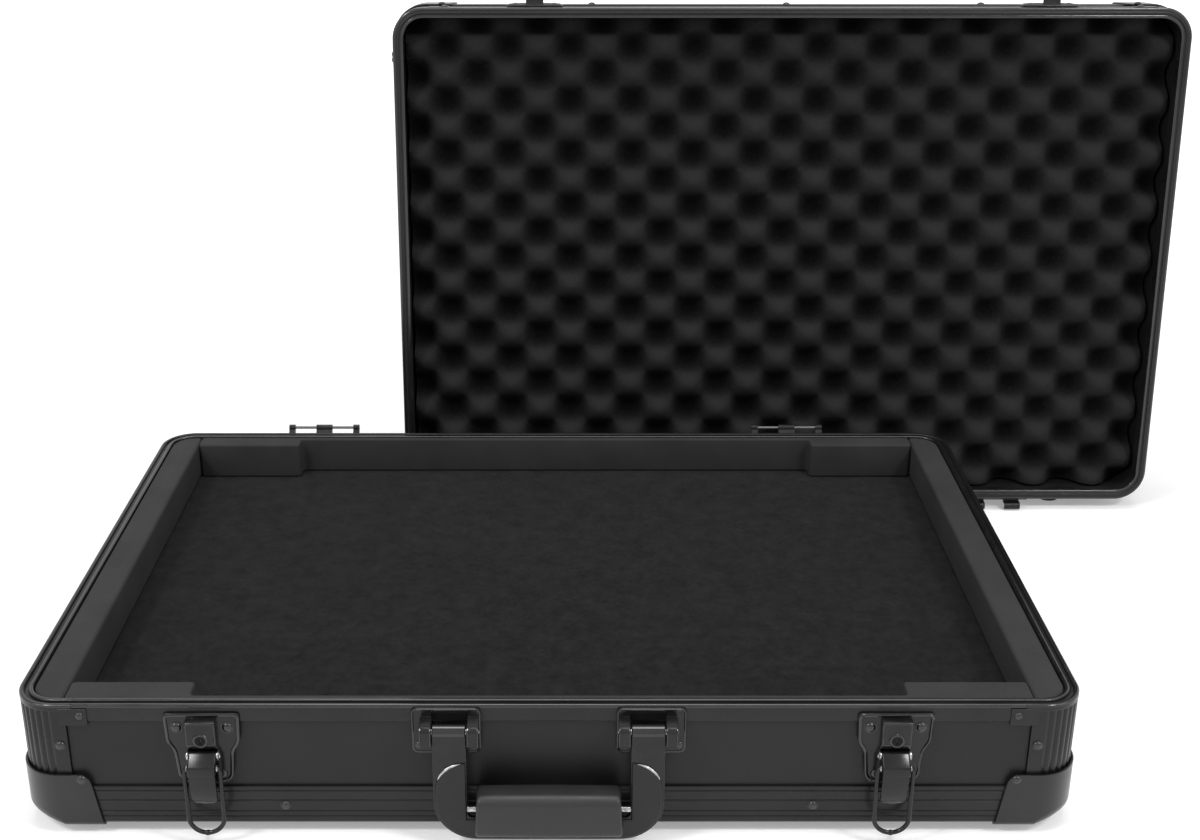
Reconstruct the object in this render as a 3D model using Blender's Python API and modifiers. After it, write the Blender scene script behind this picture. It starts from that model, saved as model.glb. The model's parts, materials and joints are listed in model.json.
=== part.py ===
"""DJ controller flight case: a low foam-lined base and a lift-off lid that stands beside it.

Metres, +Z up, the front of the case towards -Y. The origin is at the centre of the bottom
panel's underside. The lid is modelled in its closed place and then stood behind the base.
"""

from math import asin, atan2, cos, degrees, hypot, pi, radians, sin

import bmesh
import bpy
from mathutils import Matrix, Vector

# Overall sizes
CASE_WIDTH = 0.640
CASE_DEPTH = 0.416
BASE_HEIGHT = 0.084
LID_HEIGHT = 0.057
CORNER_RADIUS = 0.025

# Clearances and cuts
FIT = 0.0003
LID_SEAM = 0.0005
OVERRUN = 0.004
WELD = 0.00001

# Sheet and board thicknesses
PROFILE = 0.0015
BOARD = 0.005
INNER_FLANGE = 0.0014
PLATE = 0.0015

# Rim profile round the opening
CROWN = 0.0035
RIM_FLANGE_HEIGHT = 0.011
RIM_INNER_HEIGHT = 0.010
GROOVE_INSET = 0.003
GROOVE_WIDTH = 0.0025
GROOVE_DEPTH = 0.002
TONGUE_CLEARANCE = 0.0005

# Corner posts
POST_LENGTH = 0.0327
POST_TOP_LENGTH = 0.037
POST_TAB_LENGTH = 0.046
POST_TAB_HEIGHT = 0.014
POST_FOOT = 0.0205
REED_INSET = 0.0002
REED_DEPTH = 0.0006
REEDS = 9
ARC_STEPS = 6

# Bottom edge rails
EDGE_RAIL_HEIGHT = 0.027
EDGE_RAIL_LEG = 0.022
LID_EDGE_HEIGHT = 0.020
EDGE_RAIL_START = 0.036
EDGE_RADIUS = 0.003
LINE_DEPTH = 0.0005
LINE_HALF_WIDTH = 0.0006
LINE_SHARES = (0.14, 0.42, 0.74, 0.90)

# Ball corner caps
CAP_HEIGHT = 0.036
LID_CAP_HEIGHT = 0.030
CAP_TOP_LENGTH = 0.043
CAP_BOTTOM_LENGTH = 0.049
CAP_TOP_RADIUS = 0.006
CAP_BALL_RADIUS = 0.020
CAP_BLEND = 0.033
PANEL_CHAMFER = 0.040

# The bottom board's underside, let in round its edge for the rails and under each foot
REBATE_DEPTH = 0.0005
REBATE_WIDTH = 0.0235

# Rubber feet
FOOT_RADIUS = 0.014
FOOT_HEIGHT = 0.0087
FOOT_FROM_SIDE = 0.060
FOOT_FROM_FRONT = 0.060
WALL_FOOT_RADIUS = 0.01025
WALL_FOOT_HEIGHT = 0.0075
WALL_FOOT_FROM_END = 0.0755
FOOT_TAPER = 0.0012
FOOT_ROUND = 0.0015
FOOT_STEPS = 16

# Foam in the base
FLOOR_FOAM_DEPTH = 0.029
BOLSTER_REACH = 0.030
BOLSTER_DROP = 0.0005
FRONT_BLOCK_LENGTH = 0.075
FRONT_BLOCK_REACH = 0.028
REAR_BLOCK_LENGTH = 0.082
REAR_BLOCK_REACH = 0.025
LINING = 0.004

# Egg-crate foam in the lid
CRATE_PITCH_X = 0.0507
CRATE_PITCH_Y = 0.0438
CRATE_WAVE = 0.020
CRATE_DROP = 0.012
CRATE_STEPS_PER_PITCH = 4

# Latches, measured down from the rim and out from the front face
LATCH_FROM_END = 0.114
LATCH_WIDTH = 0.0457
LATCH_TAIL_WIDTH = 0.031
LATCH_TOP = 0.0045
LATCH_BEND = 0.030
LATCH_BOTTOM = 0.053
LATCH_ROUND = 0.003
HOUSING_WIDTH = 0.0172
HOUSING_TOP = 0.0075
HOUSING_BOTTOM = 0.0278
HOUSING_BEVEL_DROP = 0.0235
HOUSING_REACH = 0.0078
HOUSING_FOOT_REACH = 0.0045
HOUSING_ROUND = 0.0012
LOCK_DROP = 0.0195
LOCK_RADIUS = 0.0032
LOCK_PROUD = 0.0008
LOCK_DEPTH = 0.005
LOCK_STEPS = 16
KEYWAY_WIDTH = 0.0009
KEYWAY_HEIGHT = 0.0042
KEYWAY_DEPTH = 0.0025
LEVER_WIDTH = 0.016
LEVER_PIVOT_DROP = 0.0315
LEVER_PIVOT_OUT = 0.005
LEVER_BOSS = 0.0029
LEVER_PIN = 0.0012
LEVER_TIP_DROP = 0.0655
LEVER_TIP_OUT = 0.0125
LEVER_WAIST_DROP = 0.052
LEVER_WAIST_OUT = 0.0065
LEVER_THICKNESS = 0.0028
LEVER_SIDE_CLEARANCE = 0.0003
LEVER_TIP_RADIUS = 0.0055
EAR_WIDTH = 0.0013
EAR_RADIUS = 0.0029
BAIL_PIVOT_DROP = 0.037
BAIL_PIVOT_OUT = 0.0105
BAIL_BOSS = 0.0031
BAIL_WIRE = 0.0014
BAIL_WIDTH = 0.024
BAIL_PIN_DEPTH = 0.003

# Latch catches on the lid, measured up from the rim
CATCH_WIDTH = 0.045
CATCH_HEIGHT = 0.022
CATCH_START = 0.002
CATCH_BLOCK_WIDTH = 0.0172
CATCH_REACH = 0.0099
CATCH_LIP = 0.0014
CATCH_LIP_HEIGHT = 0.003
CATCH_SHELF = 0.0035
SEAT_OUT = 0.0066
SEAT_RISE = 0.008
SEAT_CLEARANCE = 0.0005

# Carrying handle
BRACKET_SHIFT = 0.00225
BRACKET_WIDTH = 0.0416
BRACKET_TOP = 0.0008
BRACKET_HEIGHT = 0.031
BRACKET_ROUND = 0.004
BRACKET_WINDOW_WIDTH = 0.0255
BRACKET_WINDOW_HEIGHT = 0.018
LUG_WIDTH = 0.003
LUG_RADIUS = 0.0045
HANDLE_PIN_DROP = 0.0125
HANDLE_PIN_OUT = 0.009
HANDLE_PIN = 0.002
HANDLE_WIDTH = 0.138
HANDLE_ARM = 0.0205
HANDLE_DROP = 0.073
HANDLE_BAR = 0.0155
HANDLE_THICKNESS = 0.003
HANDLE_OUTER_RADIUS = 0.026
HANDLE_INNER_RADIUS = 0.0036
EYE_RADIUS = 0.0045
EYE_CLEARANCE = 0.0004
EYE_WIDTH = 0.0165
GRIP_END_GAP = 0.00425
GRIP_HEIGHT = 0.029
GRIP_THICKNESS = 0.020
GRIP_OUT = 0.0135
GRIP_CLEAR_OF_BOTTOM = 0.006
GRIP_ROUND = 0.0065

# Lift-off hinges
HINGE_FROM_END = 0.1285
HINGE_WIDTH = 0.058
HINGE_OUT = 0.0063
HINGE_RISE = 0.002
HINGE_PIN = 0.0011
KNUCKLE = 0.0025
KNUCKLE_END = 0.005
KNUCKLE_MIDDLE = 0.013
KNUCKLE_FOOT = 0.010
LEAF_DROP = 0.030
LEAF_TOP = 0.0012
LEAF_ROUND = 0.002
HOOK_WIDTH = 0.0134
HOOK_INNER = 0.0017
HOOK_OUTER = 0.0033
HOOK_SHELF_LOW = 0.0025
HOOK_SHELF_TOP = 0.004
HOOK_LEAF_RISE = 0.030
HOOK_END_ANGLE = 340

# Place of the lid as it stands
LID_OPEN_ANGLE = 95
LID_SHIFT = 0.190
LID_BACK_TRAVEL = 0.038

# Values that follow from the sizes above
HALF_WIDTH = CASE_WIDTH / 2
HALF_DEPTH = CASE_DEPTH / 2
BOARD_FACE = PROFILE + FIT
BOARD_BACK = BOARD_FACE + BOARD
LINER = BOARD_BACK + FIT
RIM_WIDTH = LINER + INNER_FLANGE
FOAM_INSET = RIM_WIDTH + FIT
UNDERSIDE = -(PROFILE + FIT)
RIM_Z = UNDERSIDE + BASE_HEIGHT
FLOOR_Z = -(FOOT_HEIGHT + FIT)
BOARD_START = POST_LENGTH + FIT
LID_Z = RIM_Z + LID_SEAM
LID_TOP = LID_Z + LID_HEIGHT
LID_FOOT_Z = (LID_Z + RIM_FLANGE_HEIGHT + LID_TOP - LID_EDGE_HEIGHT) / 2
BASE_FOOT_Z = (UNDERSIDE + EDGE_RAIL_HEIGHT + RIM_Z - RIM_FLANGE_HEIGHT) / 2
FOAM_FLOOR = RIM_Z - FLOOR_FOAM_DEPTH
PIN_Y = HALF_DEPTH + HINGE_OUT
PIN_Z = RIM_Z + HINGE_RISE
FRONT = -HALF_DEPTH
LATCH_OFFSET = HALF_WIDTH - LATCH_FROM_END
HINGE_OFFSET = HALF_WIDTH - HINGE_FROM_END
WALL_FOOT_OFFSET = HALF_WIDTH - WALL_FOOT_FROM_END
HANDLE_EYE_OFFSET = (HANDLE_WIDTH - HANDLE_ARM) / 2
BRACKET_OFFSET = HANDLE_EYE_OFFSET + BRACKET_SHIFT
GRIP_WIDTH = HANDLE_WIDTH - 2 * (HANDLE_ARM + GRIP_END_GAP)
GRIP_CENTRE_DROP = HANDLE_PIN_DROP + HANDLE_DROP - GRIP_CLEAR_OF_BOTTOM - GRIP_HEIGHT / 2

# The four sides, each seen from the corner at its left as one faces it from outside
SIDES = (
    ("front", (-HALF_WIDTH, -HALF_DEPTH), CASE_WIDTH),
    ("right", (HALF_WIDTH, -HALF_DEPTH), CASE_DEPTH),
    ("rear", (HALF_WIDTH, HALF_DEPTH), CASE_WIDTH),
    ("left", (-HALF_WIDTH, HALF_DEPTH), CASE_DEPTH),
)
CORNERS = ("front_left", "front_right", "rear_right", "rear_left")
HANDS = (("left", -1), ("right", 1))

# Matrices that turn a flat outline to face along a wall
ALONG_X = Matrix(((0, 0, 1, 0), (1, 0, 0, 0), (0, 1, 0, 0), (0, 0, 0, 1)))
ALONG_Y = Matrix(((1, 0, 0, 0), (0, 0, -1, 0), (0, 1, 0, 0), (0, 0, 0, 1)))

MATERIALS = {
    "aluminium": ((0.030, 0.030, 0.032, 1), 0.38, 1.0),
    "zinc": ((0.022, 0.022, 0.024, 1), 0.30, 0.0),
    "laminate": ((0.016, 0.016, 0.017, 1), 0.50, 0.0),
    "foam": ((0.014, 0.014, 0.015, 1), 0.95, 0.0),
    "rubber": ((0.010, 0.010, 0.011, 1), 0.75, 0.0),
    "grip": ((0.020, 0.020, 0.022, 1), 0.50, 0.0),
    "brass": ((0.060, 0.060, 0.064, 1), 0.30, 1.0),
}

tools_of = {}


def clear_scene():
    for obj in list(bpy.data.objects):
        bpy.data.objects.remove(obj, do_unlink=True)


def collection(name):
    found = bpy.data.collections.get(name) or bpy.data.collections.new(name)
    if found.name not in bpy.context.scene.collection.children:
        bpy.context.scene.collection.children.link(found)
    return found


def material(name):
    found = bpy.data.materials.get(name)
    if found:
        return found
    colour, roughness, metallic = MATERIALS[name]
    found = bpy.data.materials.new(name)
    found.use_nodes = True
    shader = found.node_tree.nodes["Principled BSDF"]
    shader.inputs["Base Color"].default_value = colour
    shader.inputs["Roughness"].default_value = roughness
    shader.inputs["Metallic"].default_value = metallic
    found.diffuse_color = colour
    return found


def add_mesh(name, mesh, matrix=None):
    """An object of a closed mesh, its faces turned outwards."""
    if matrix is not None:
        mesh.transform(matrix)
    edit = bmesh.new()
    edit.from_mesh(mesh)
    bmesh.ops.remove_doubles(edit, verts=edit.verts, dist=WELD)
    bmesh.ops.recalc_face_normals(edit, faces=edit.faces)
    edit.to_mesh(mesh)
    edit.free()
    obj = bpy.data.objects.new(name, mesh)
    bpy.context.scene.collection.objects.link(obj)
    return obj


def spline(curve, points, cyclic):
    line = curve.splines.new("POLY")
    line.points.add(len(points) - 1)
    for place, point in zip(line.points, points):
        place.co = (*point, *(0,) * (3 - len(point)), 1)
    line.use_cyclic_u = cyclic


def curve_to_mesh(name, curve, matrix=None):
    """Turns a curve into a closed mesh object and removes the curve."""
    guide = bpy.data.objects.new(name, curve)
    bpy.context.scene.collection.objects.link(guide)
    bpy.context.view_layer.update()
    state = guide.evaluated_get(bpy.context.evaluated_depsgraph_get())
    mesh = bpy.data.meshes.new_from_object(state)
    bpy.data.objects.remove(guide, do_unlink=True)
    return add_mesh(name, mesh, matrix)


def flat(name, outlines, low, high, matrix=None):
    """A flat outline, with holes after the first, extruded from low to high."""
    curve = bpy.data.curves.new(name, "CURVE")
    curve.dimensions = "2D"
    curve.fill_mode = "BOTH"
    curve.extrude = (high - low) / 2
    for outline in outlines:
        spline(curve, outline, True)
    middle = Matrix.Translation((0, 0, (low + high) / 2))
    return curve_to_mesh(name, curve, (matrix or Matrix()) @ middle)


def side_profile(name, outline, left, right):
    """An outline in Y and Z, extruded along X from left to right."""
    return flat(name, [outline], left, right, ALONG_X)


def front_profile(name, outlines, near, far):
    """Outlines in X and Z, extruded from near to far in front of Y = 0."""
    return flat(name, outlines, near, far, ALONG_Y)


def sweep(name, section, path, cyclic):
    """Carries a section along a path in plan; the section's x points to the path's right."""
    shape = bpy.data.curves.new(name + "_section", "CURVE")
    shape.dimensions = "2D"
    spline(shape, section, True)
    guide = bpy.data.objects.new(name + "_section", shape)
    bpy.context.scene.collection.objects.link(guide)
    curve = bpy.data.curves.new(name, "CURVE")
    curve.dimensions = "2D"
    curve.bevel_mode = "OBJECT"
    curve.bevel_object = guide
    curve.use_fill_caps = not cyclic
    spline(curve, path, cyclic)
    swept = curve_to_mesh(name, curve)
    bpy.data.objects.remove(guide, do_unlink=True)
    return swept


def wire(name, points, radius):
    """A round wire through points, with closed ends."""
    curve = bpy.data.curves.new(name, "CURVE")
    curve.dimensions = "3D"
    curve.bevel_depth = radius
    curve.bevel_resolution = 2
    curve.use_fill_caps = True
    spline(curve, points, False)
    return smooth(curve_to_mesh(name, curve))


def box(name, low, high):
    bpy.ops.mesh.primitive_cube_add(size=1)
    obj = bpy.context.object
    obj.name = name
    centre = (Vector(low) + Vector(high)) / 2
    size = Vector(high) - Vector(low)
    obj.data.transform(Matrix.Translation(centre) @ Matrix.Diagonal((*size, 1)))
    return obj


def rod(name, radius, start, end, sides):
    """A round bar from start to end."""
    axis = Vector(end) - Vector(start)
    bpy.ops.mesh.primitive_cylinder_add(vertices=sides, radius=radius, depth=axis.length)
    obj = bpy.context.object
    obj.name = name
    turn = axis.to_track_quat("Z", "Y").to_matrix().to_4x4()
    obj.data.transform(Matrix.Translation((Vector(start) + Vector(end)) / 2) @ turn)
    return smooth(obj)


def turned(name, profile, steps, matrix):
    """Turns a profile of radius and height about Z, then puts it in place."""
    mesh = bpy.data.meshes.new(name)
    points = [(radius, 0, height) for radius, height in profile]
    mesh.from_pydata(points, [(i, i + 1) for i in range(len(points) - 1)], [])
    obj = bpy.data.objects.new(name, mesh)
    bpy.context.scene.collection.objects.link(obj)
    screw = obj.modifiers.new("turn", "SCREW")
    screw.steps = steps
    screw.render_steps = steps
    screw.use_merge_vertices = True
    screw.merge_threshold = WELD
    bpy.context.view_layer.update()
    state = obj.evaluated_get(bpy.context.evaluated_depsgraph_get())
    result = bpy.data.meshes.new_from_object(state)
    bpy.data.objects.remove(obj, do_unlink=True)
    return smooth(add_mesh(name, result, matrix))


def smooth(obj):
    obj.data.shade_smooth()
    obj.data.set_sharp_from_angle(angle=radians(35))
    return obj


def combine(target, tool, operation, solver="EXACT"):
    """Joins a shape to the target or cuts it away, and keeps it among the cutters."""
    change = target.modifiers.new(operation.lower(), "BOOLEAN")
    change.operation = operation
    change.solver = solver
    change.object = tool
    for owner in list(tool.users_collection):
        owner.objects.unlink(tool)
    collection("cutters").objects.link(tool)
    tool.hide_render = True
    tool.display_type = "WIRE"
    tools_of.setdefault(target.name, []).append(tool)
    return target


def join(target, tool, solver="EXACT"):
    return combine(target, tool, "UNION", solver)


def cut(target, tool):
    return combine(target, tool, "DIFFERENCE")


def keep_inside(target, tool):
    return combine(target, tool, "INTERSECT")


def add_part(obj, finish, parent=None, origin=None):
    """Files a finished part, with its cutters, under its parent and puts its origin in place."""
    for owner in list(obj.users_collection):
        owner.objects.unlink(obj)
    collection("dj_controller_flight_case").objects.link(obj)
    obj.data.materials.clear()
    obj.data.materials.append(material(finish))
    if origin is not None:
        obj.data.transform(Matrix.Translation(-Vector(origin)))
        obj.location = origin
    for piece in [obj] + tools_of.get(obj.name, []):
        if parent:
            piece.parent = parent
    return obj


def set_on_side(obj, number):
    """Turns a shape made at the front left corner to another corner of the case."""
    corner = Vector((*SIDES[number][1], 0))
    turn = Matrix.Translation(corner) @ Matrix.Rotation(number * pi / 2, 4, "Z")
    obj.data.transform(turn)
    for tool in tools_of.get(obj.name, []):
        tool.data.transform(turn)
    return obj


def arc(centre, radius, start, end, steps):
    """Points on an arc, by angles in degrees."""
    angles = [radians(start + (end - start) * i / steps) for i in range(steps + 1)]
    return [(centre[0] + radius * cos(a), centre[1] + radius * sin(a)) for a in angles]


def rounded_outline(left, right, low, high, radius, steps=ARC_STEPS):
    """A rectangle with round corners, or one with four radii from the lower left on."""
    radii = radius if isinstance(radius, tuple) else (radius,) * 4
    corners = ((left, low, 1, 1), (right, low, -1, 1), (right, high, -1, -1), (left, high, 1, -1))
    points = []
    for turn, ((x, y, sx, sy), r) in enumerate(zip(corners, radii)):
        start = 180 + 90 * turn
        points += arc((x + sx * r, y + sy * r), r, start, start + 90, steps) if r else [(x, y)]
    return points


def plan_outline(inset, steps=ARC_STEPS):
    """The case's plan outline, moved inwards."""
    half_x = HALF_WIDTH - inset
    half_y = HALF_DEPTH - inset
    return rounded_outline(-half_x, half_x, -half_y, half_y, CORNER_RADIUS - inset, steps)


def corner_path(length):
    """The outer line round the front left corner, from the front face to the left face."""
    bend = arc((CORNER_RADIUS, CORNER_RADIUS), CORNER_RADIUS, 270, 180, ARC_STEPS)
    return [(length, 0)] + bend + [(0, length)]


def rim_section(level, direction, tongue):
    """The rim profile; it hangs below its level, or stands above it where direction is 1."""
    if tongue:
        start = GROOVE_INSET + TONGUE_CLEARANCE
        end = GROOVE_INSET + GROOVE_WIDTH - TONGUE_CLEARANCE
        depth = TONGUE_CLEARANCE + LID_SEAM - GROOVE_DEPTH
    else:
        start = GROOVE_INSET
        end = GROOVE_INSET + GROOVE_WIDTH
        depth = GROOVE_DEPTH
    shape = [
        (0, RIM_FLANGE_HEIGHT),
        (0, 0),
        (start, 0),
        (start, depth),
        (end, depth),
        (end, 0),
        (RIM_WIDTH, 0),
        (RIM_WIDTH, RIM_INNER_HEIGHT),
        (LINER, RIM_INNER_HEIGHT),
        (LINER, CROWN),
        (PROFILE, CROWN),
        (PROFILE, RIM_FLANGE_HEIGHT),
    ]
    return [(inset, level + direction * height) for inset, height in shape]


def reeded_outline(face, inner, length):
    """Plan of a corner post or skin at the front left corner, reeded on its outer arc."""
    outer = CORNER_RADIUS - face
    inside = CORNER_RADIUS - inner
    centre = (CORNER_RADIUS, CORNER_RADIUS)
    points = [(length, face)]
    for step in range(2 * REEDS + 1):
        angle = radians(270 - 90 * step / (2 * REEDS))
        radius = outer - REED_DEPTH * (step % 2)
        points.append((centre[0] + radius * cos(angle), centre[1] + radius * sin(angle)))
    points += [(face, length), (inner, length)]
    points += arc(centre, inside, 180, 270, ARC_STEPS)
    points.append((length, inner))
    return points


def chamfered_board(name, low, high):
    """A board that fills the case in plan, its corners cut off behind the ball corners."""
    half_x = HALF_WIDTH - LINER
    half_y = HALF_DEPTH - LINER
    board = box(name, (-half_x, -half_y, low), (half_x, half_y, high))
    edit = bmesh.new()
    edit.from_mesh(board.data)
    posts = [edge for edge in edit.edges if abs(edge.verts[0].co.z - edge.verts[1].co.z) > WELD]
    bmesh.ops.bevel(edit, geom=posts, offset=PANEL_CHAMFER - LINER, segments=1, affect="EDGES")
    edit.to_mesh(board.data)
    edit.free()
    return board


def base_foot_places():
    """Each foot under the bottom board, with its corner's name."""
    x = HALF_WIDTH - FOOT_FROM_SIDE
    y = HALF_DEPTH - FOOT_FROM_FRONT
    return zip(CORNERS, ((-x, -y), (x, -y), (x, y), (-x, y)))


def base_panels():
    bottom = chamfered_board("base_bottom_panel", 0, BOARD)
    field = rounded_outline(REBATE_WIDTH - HALF_WIDTH, HALF_WIDTH - REBATE_WIDTH,
                            REBATE_WIDTH - HALF_DEPTH, HALF_DEPTH - REBATE_WIDTH, REBATE_WIDTH, 2)
    cut(bottom, flat("base_bottom_rebate", [plan_outline(0), field], -OVERRUN, REBATE_DEPTH))
    for corner, (x, y) in base_foot_places():
        cut(bottom, rod(f"base_bottom_seat_{corner}", FOOT_RADIUS + FIT, (x, y, -OVERRUN),
                        (x, y, REBATE_DEPTH), FOOT_STEPS))
    add_part(bottom, "laminate")
    for number, (side, _corner, length) in enumerate(SIDES):
        low = (BOARD_START, BOARD_FACE, 0)
        high = (length - BOARD_START, BOARD_BACK, RIM_Z - CROWN - FIT)
        wall = box(f"base_{side}_panel", low, high)
        add_part(set_on_side(wall, number), "laminate")


def base_rims():
    start = POST_TOP_LENGTH + FIT
    for number, (side, _corner, length) in enumerate(SIDES):
        path = [(length - start, 0), (start, 0)]
        rim = sweep(f"base_rim_{side}", rim_section(RIM_Z, -1, False), path, False)
        for left in (start - OVERRUN, length - POST_TAB_LENGTH - FIT):
            low = (left, -OVERRUN, RIM_Z - RIM_FLANGE_HEIGHT - OVERRUN)
            high = (left + POST_TAB_LENGTH + FIT - start + OVERRUN, BOARD_FACE, RIM_Z + OVERRUN)
            cut(rim, box(f"{rim.name}_notch", low, high))
        add_part(set_on_side(rim, number), "aluminium")


def corner_posts():
    for number, corner in enumerate(CORNERS):
        crown = sweep(f"base_corner_post_{corner}", rim_section(RIM_Z, -1, False),
                      corner_path(POST_TOP_LENGTH), False)
        tab_low = RIM_Z - POST_TAB_HEIGHT
        tab = [(0, tab_low), (0, RIM_Z), (PROFILE, RIM_Z), (PROFILE, tab_low)]
        join(crown, sweep(f"{crown.name}_tab", tab, corner_path(POST_TAB_LENGTH), False))
        outline = reeded_outline(REED_INSET, BOARD_BACK, POST_LENGTH)
        join(crown, flat(f"{crown.name}_column", [outline], POST_FOOT, RIM_Z - CROWN / 2))
        add_part(set_on_side(crown, number), "aluminium")


def edge_section(height):
    """Edge rail: an outer leg with fine lines, a round edge and a leg under the panel."""
    top = UNDERSIDE + height
    points = [(EDGE_RAIL_LEG, -FIT), (EDGE_RAIL_LEG, UNDERSIDE)]
    points += arc((EDGE_RADIUS, UNDERSIDE + EDGE_RADIUS), EDGE_RADIUS, 270, 180, 3)
    for share in reversed(LINE_SHARES):
        middle = top - share * (height - EDGE_RADIUS)
        points += [(0, middle - LINE_HALF_WIDTH), (LINE_DEPTH, middle), (0, middle + LINE_HALF_WIDTH)]
    points += [(0, top), (PROFILE, top), (PROFILE, -FIT)]
    return points


def base_edge_rails():
    for number, (side, _corner, length) in enumerate(SIDES):
        path = [(length - EDGE_RAIL_START, 0), (EDGE_RAIL_START, 0)]
        rail = sweep(f"base_edge_rail_{side}", edge_section(EDGE_RAIL_HEIGHT), path, False)
        add_part(set_on_side(rail, number), "aluminium")


def cap_radius(distance, end_radius):
    """Edge radius of the ball corner, full on the arc and small where the rail takes over."""
    share = (distance - CORNER_RADIUS) / (CAP_BLEND - CORNER_RADIUS)
    share = min(max(share, 0), 1)
    return CAP_BALL_RADIUS + (end_radius - CAP_BALL_RADIUS) * share


def cap_mesh(name, gap, tall):
    """Ball corner at the front left corner, a grid over its inner face, gap outside the rails."""
    low = UNDERSIDE - gap
    top = UNDERSIDE + tall
    end_radius = EDGE_RADIUS + gap
    columns = [(2, None), (1, CAP_BLEND), (0, 0)] + [(0, step) for step in range(1, ARC_STEPS)]
    columns += [(0, ARC_STEPS), (-1, CAP_BLEND), (-2, None)]
    drops = [0, CAP_TOP_RADIUS * (1 - cos(pi / 4)), CAP_TOP_RADIUS]
    reaches = [CAP_TOP_RADIUS, CAP_TOP_RADIUS * (1 - cos(pi / 4)), 0]
    arc_rows = 4
    rows = [("wall", drop, reach) for drop, reach in zip(drops, reaches)]
    rows += [("edge", step / arc_rows, 0) for step in range(arc_rows + 1)] + [("under", 0, CAP_TOP_RADIUS)]
    mesh = bpy.data.meshes.new(name)
    edit = bmesh.new()
    grid = []
    for kind, value, reach in rows:
        line = []
        for side, place in columns:
            distance = CAP_BOTTOM_LENGTH if place is None else CORNER_RADIUS if side == 0 else place
            radius = cap_radius(distance, end_radius)
            if kind == "wall":
                inset, height = 0, top - value
            elif kind == "edge":
                inset = radius * (1 - cos(value * pi / 2))
                height = low + radius * (1 - sin(value * pi / 2))
            else:
                inset, height = EDGE_RAIL_LEG + gap, low
            if place is None:
                share = (top - height) / tall
                distance = CAP_TOP_LENGTH + (CAP_BOTTOM_LENGTH - CAP_TOP_LENGTH) * share - reach
            if side > 0:
                point = (distance, inset - gap)
            elif side < 0:
                point = (inset - gap, distance)
            else:
                angle = radians(270 - 90 * place / ARC_STEPS)
                around = CORNER_RADIUS + gap - inset
                point = (CORNER_RADIUS + around * cos(angle), CORNER_RADIUS + around * sin(angle))
            line.append(edit.verts.new((*point, height)))
        grid.append(line)
    for upper, lower in zip(grid, grid[1:]):
        for i in range(len(upper) - 1):
            edit.faces.new((upper[i], upper[i + 1], lower[i + 1], lower[i]))
    bmesh.ops.recalc_face_normals(edit, faces=edit.faces)
    edit.faces.ensure_lookup_table()
    if edit.faces[0].normal.y > 0:
        bmesh.ops.reverse_faces(edit, faces=edit.faces)
    edit.to_mesh(mesh)
    edit.free()
    obj = bpy.data.objects.new(name, mesh)
    bpy.context.scene.collection.objects.link(obj)
    wall = obj.modifiers.new("sheet", "SOLIDIFY")
    wall.thickness = PROFILE
    wall.offset = 1
    wall.use_even_offset = True
    bpy.context.view_layer.update()
    state = obj.evaluated_get(bpy.context.evaluated_depsgraph_get())
    result = bpy.data.meshes.new_from_object(state)
    bpy.data.objects.remove(obj, do_unlink=True)
    return smooth(add_mesh(name, result))


def base_corner_caps():
    for number, corner in enumerate(CORNERS):
        cap = cap_mesh(f"base_corner_cap_{corner}", FIT, CAP_HEIGHT)
        add_part(set_on_side(cap, number), "zinc")


def foot_profile(radius, height):
    """A rubber foot from its flat face on the wall, at height zero, to its rounded end."""
    points = [(0, -height), (radius - FOOT_TAPER - FOOT_ROUND, -height)]
    points += [(radius - FOOT_TAPER, -height + FOOT_ROUND), (radius, 0), (0, 0)]
    return list(reversed(points))


def base_feet():
    top = REBATE_DEPTH - FIT
    for corner, (x, y) in base_foot_places():
        profile = foot_profile(FOOT_RADIUS, FOOT_HEIGHT + FIT + top)
        foot = turned(f"base_foot_{corner}", profile, FOOT_STEPS, Matrix.Translation((x, y, top)))
        add_part(foot, "rubber")
    for hand, side in HANDS:
        place = Matrix.Translation((side * WALL_FOOT_OFFSET, HALF_DEPTH - BOARD_FACE + FIT, BASE_FOOT_Z))
        turn = Matrix.Rotation(pi / 2, 4, "X")
        profile = foot_profile(WALL_FOOT_RADIUS, WALL_FOOT_HEIGHT + BOARD_FACE)
        add_part(turned(f"base_rear_foot_{hand}", profile, FOOT_STEPS, place @ turn), "rubber")


def base_foam():
    outline = plan_outline(LINER)
    add_part(flat("floor_foam", [outline], BOARD + FIT, FOAM_FLOOR), "foam")
    low = FOAM_FLOOR + FIT
    high = RIM_Z - BOLSTER_DROP
    edge_x = HALF_WIDTH - FOAM_INSET
    edge_y = HALF_DEPTH - FOAM_INSET
    inner_x = HALF_WIDTH - BOLSTER_REACH
    round_corner = CORNER_RADIUS - FOAM_INSET
    for hand, side in HANDS:
        if side < 0:
            outline = rounded_outline(-edge_x, -inner_x, -edge_y, edge_y, (round_corner, 0, 0, round_corner))
        else:
            outline = rounded_outline(inner_x, edge_x, -edge_y, edge_y, (0, round_corner, round_corner, 0))
        add_part(flat(f"side_bolster_{hand}", [outline], low, high), "foam")
    for name, side, length, reach in (("front_foam_blocks", -1, FRONT_BLOCK_LENGTH, FRONT_BLOCK_REACH),
                                      ("rear_foam_blocks", 1, REAR_BLOCK_LENGTH, REAR_BLOCK_REACH)):
        end = inner_x - FIT
        wall = side * edge_y
        lining = side * (edge_y - LINING)
        face = side * (HALF_DEPTH - reach)
        outline = [(-end, wall), (end, wall), (end, face), (end - length, face), (end - length, lining),
                   (-end + length, lining), (-end + length, face), (-end, face)]
        add_part(flat(name, [outline], low, high), "foam")


def bail_length():
    """From the bail's pivot to the middle of its cross wire, so that it seats on the catch."""
    return hypot(BAIL_PIVOT_DROP + SEAT_RISE + LID_SEAM, BAIL_PIVOT_OUT - SEAT_OUT)


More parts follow.
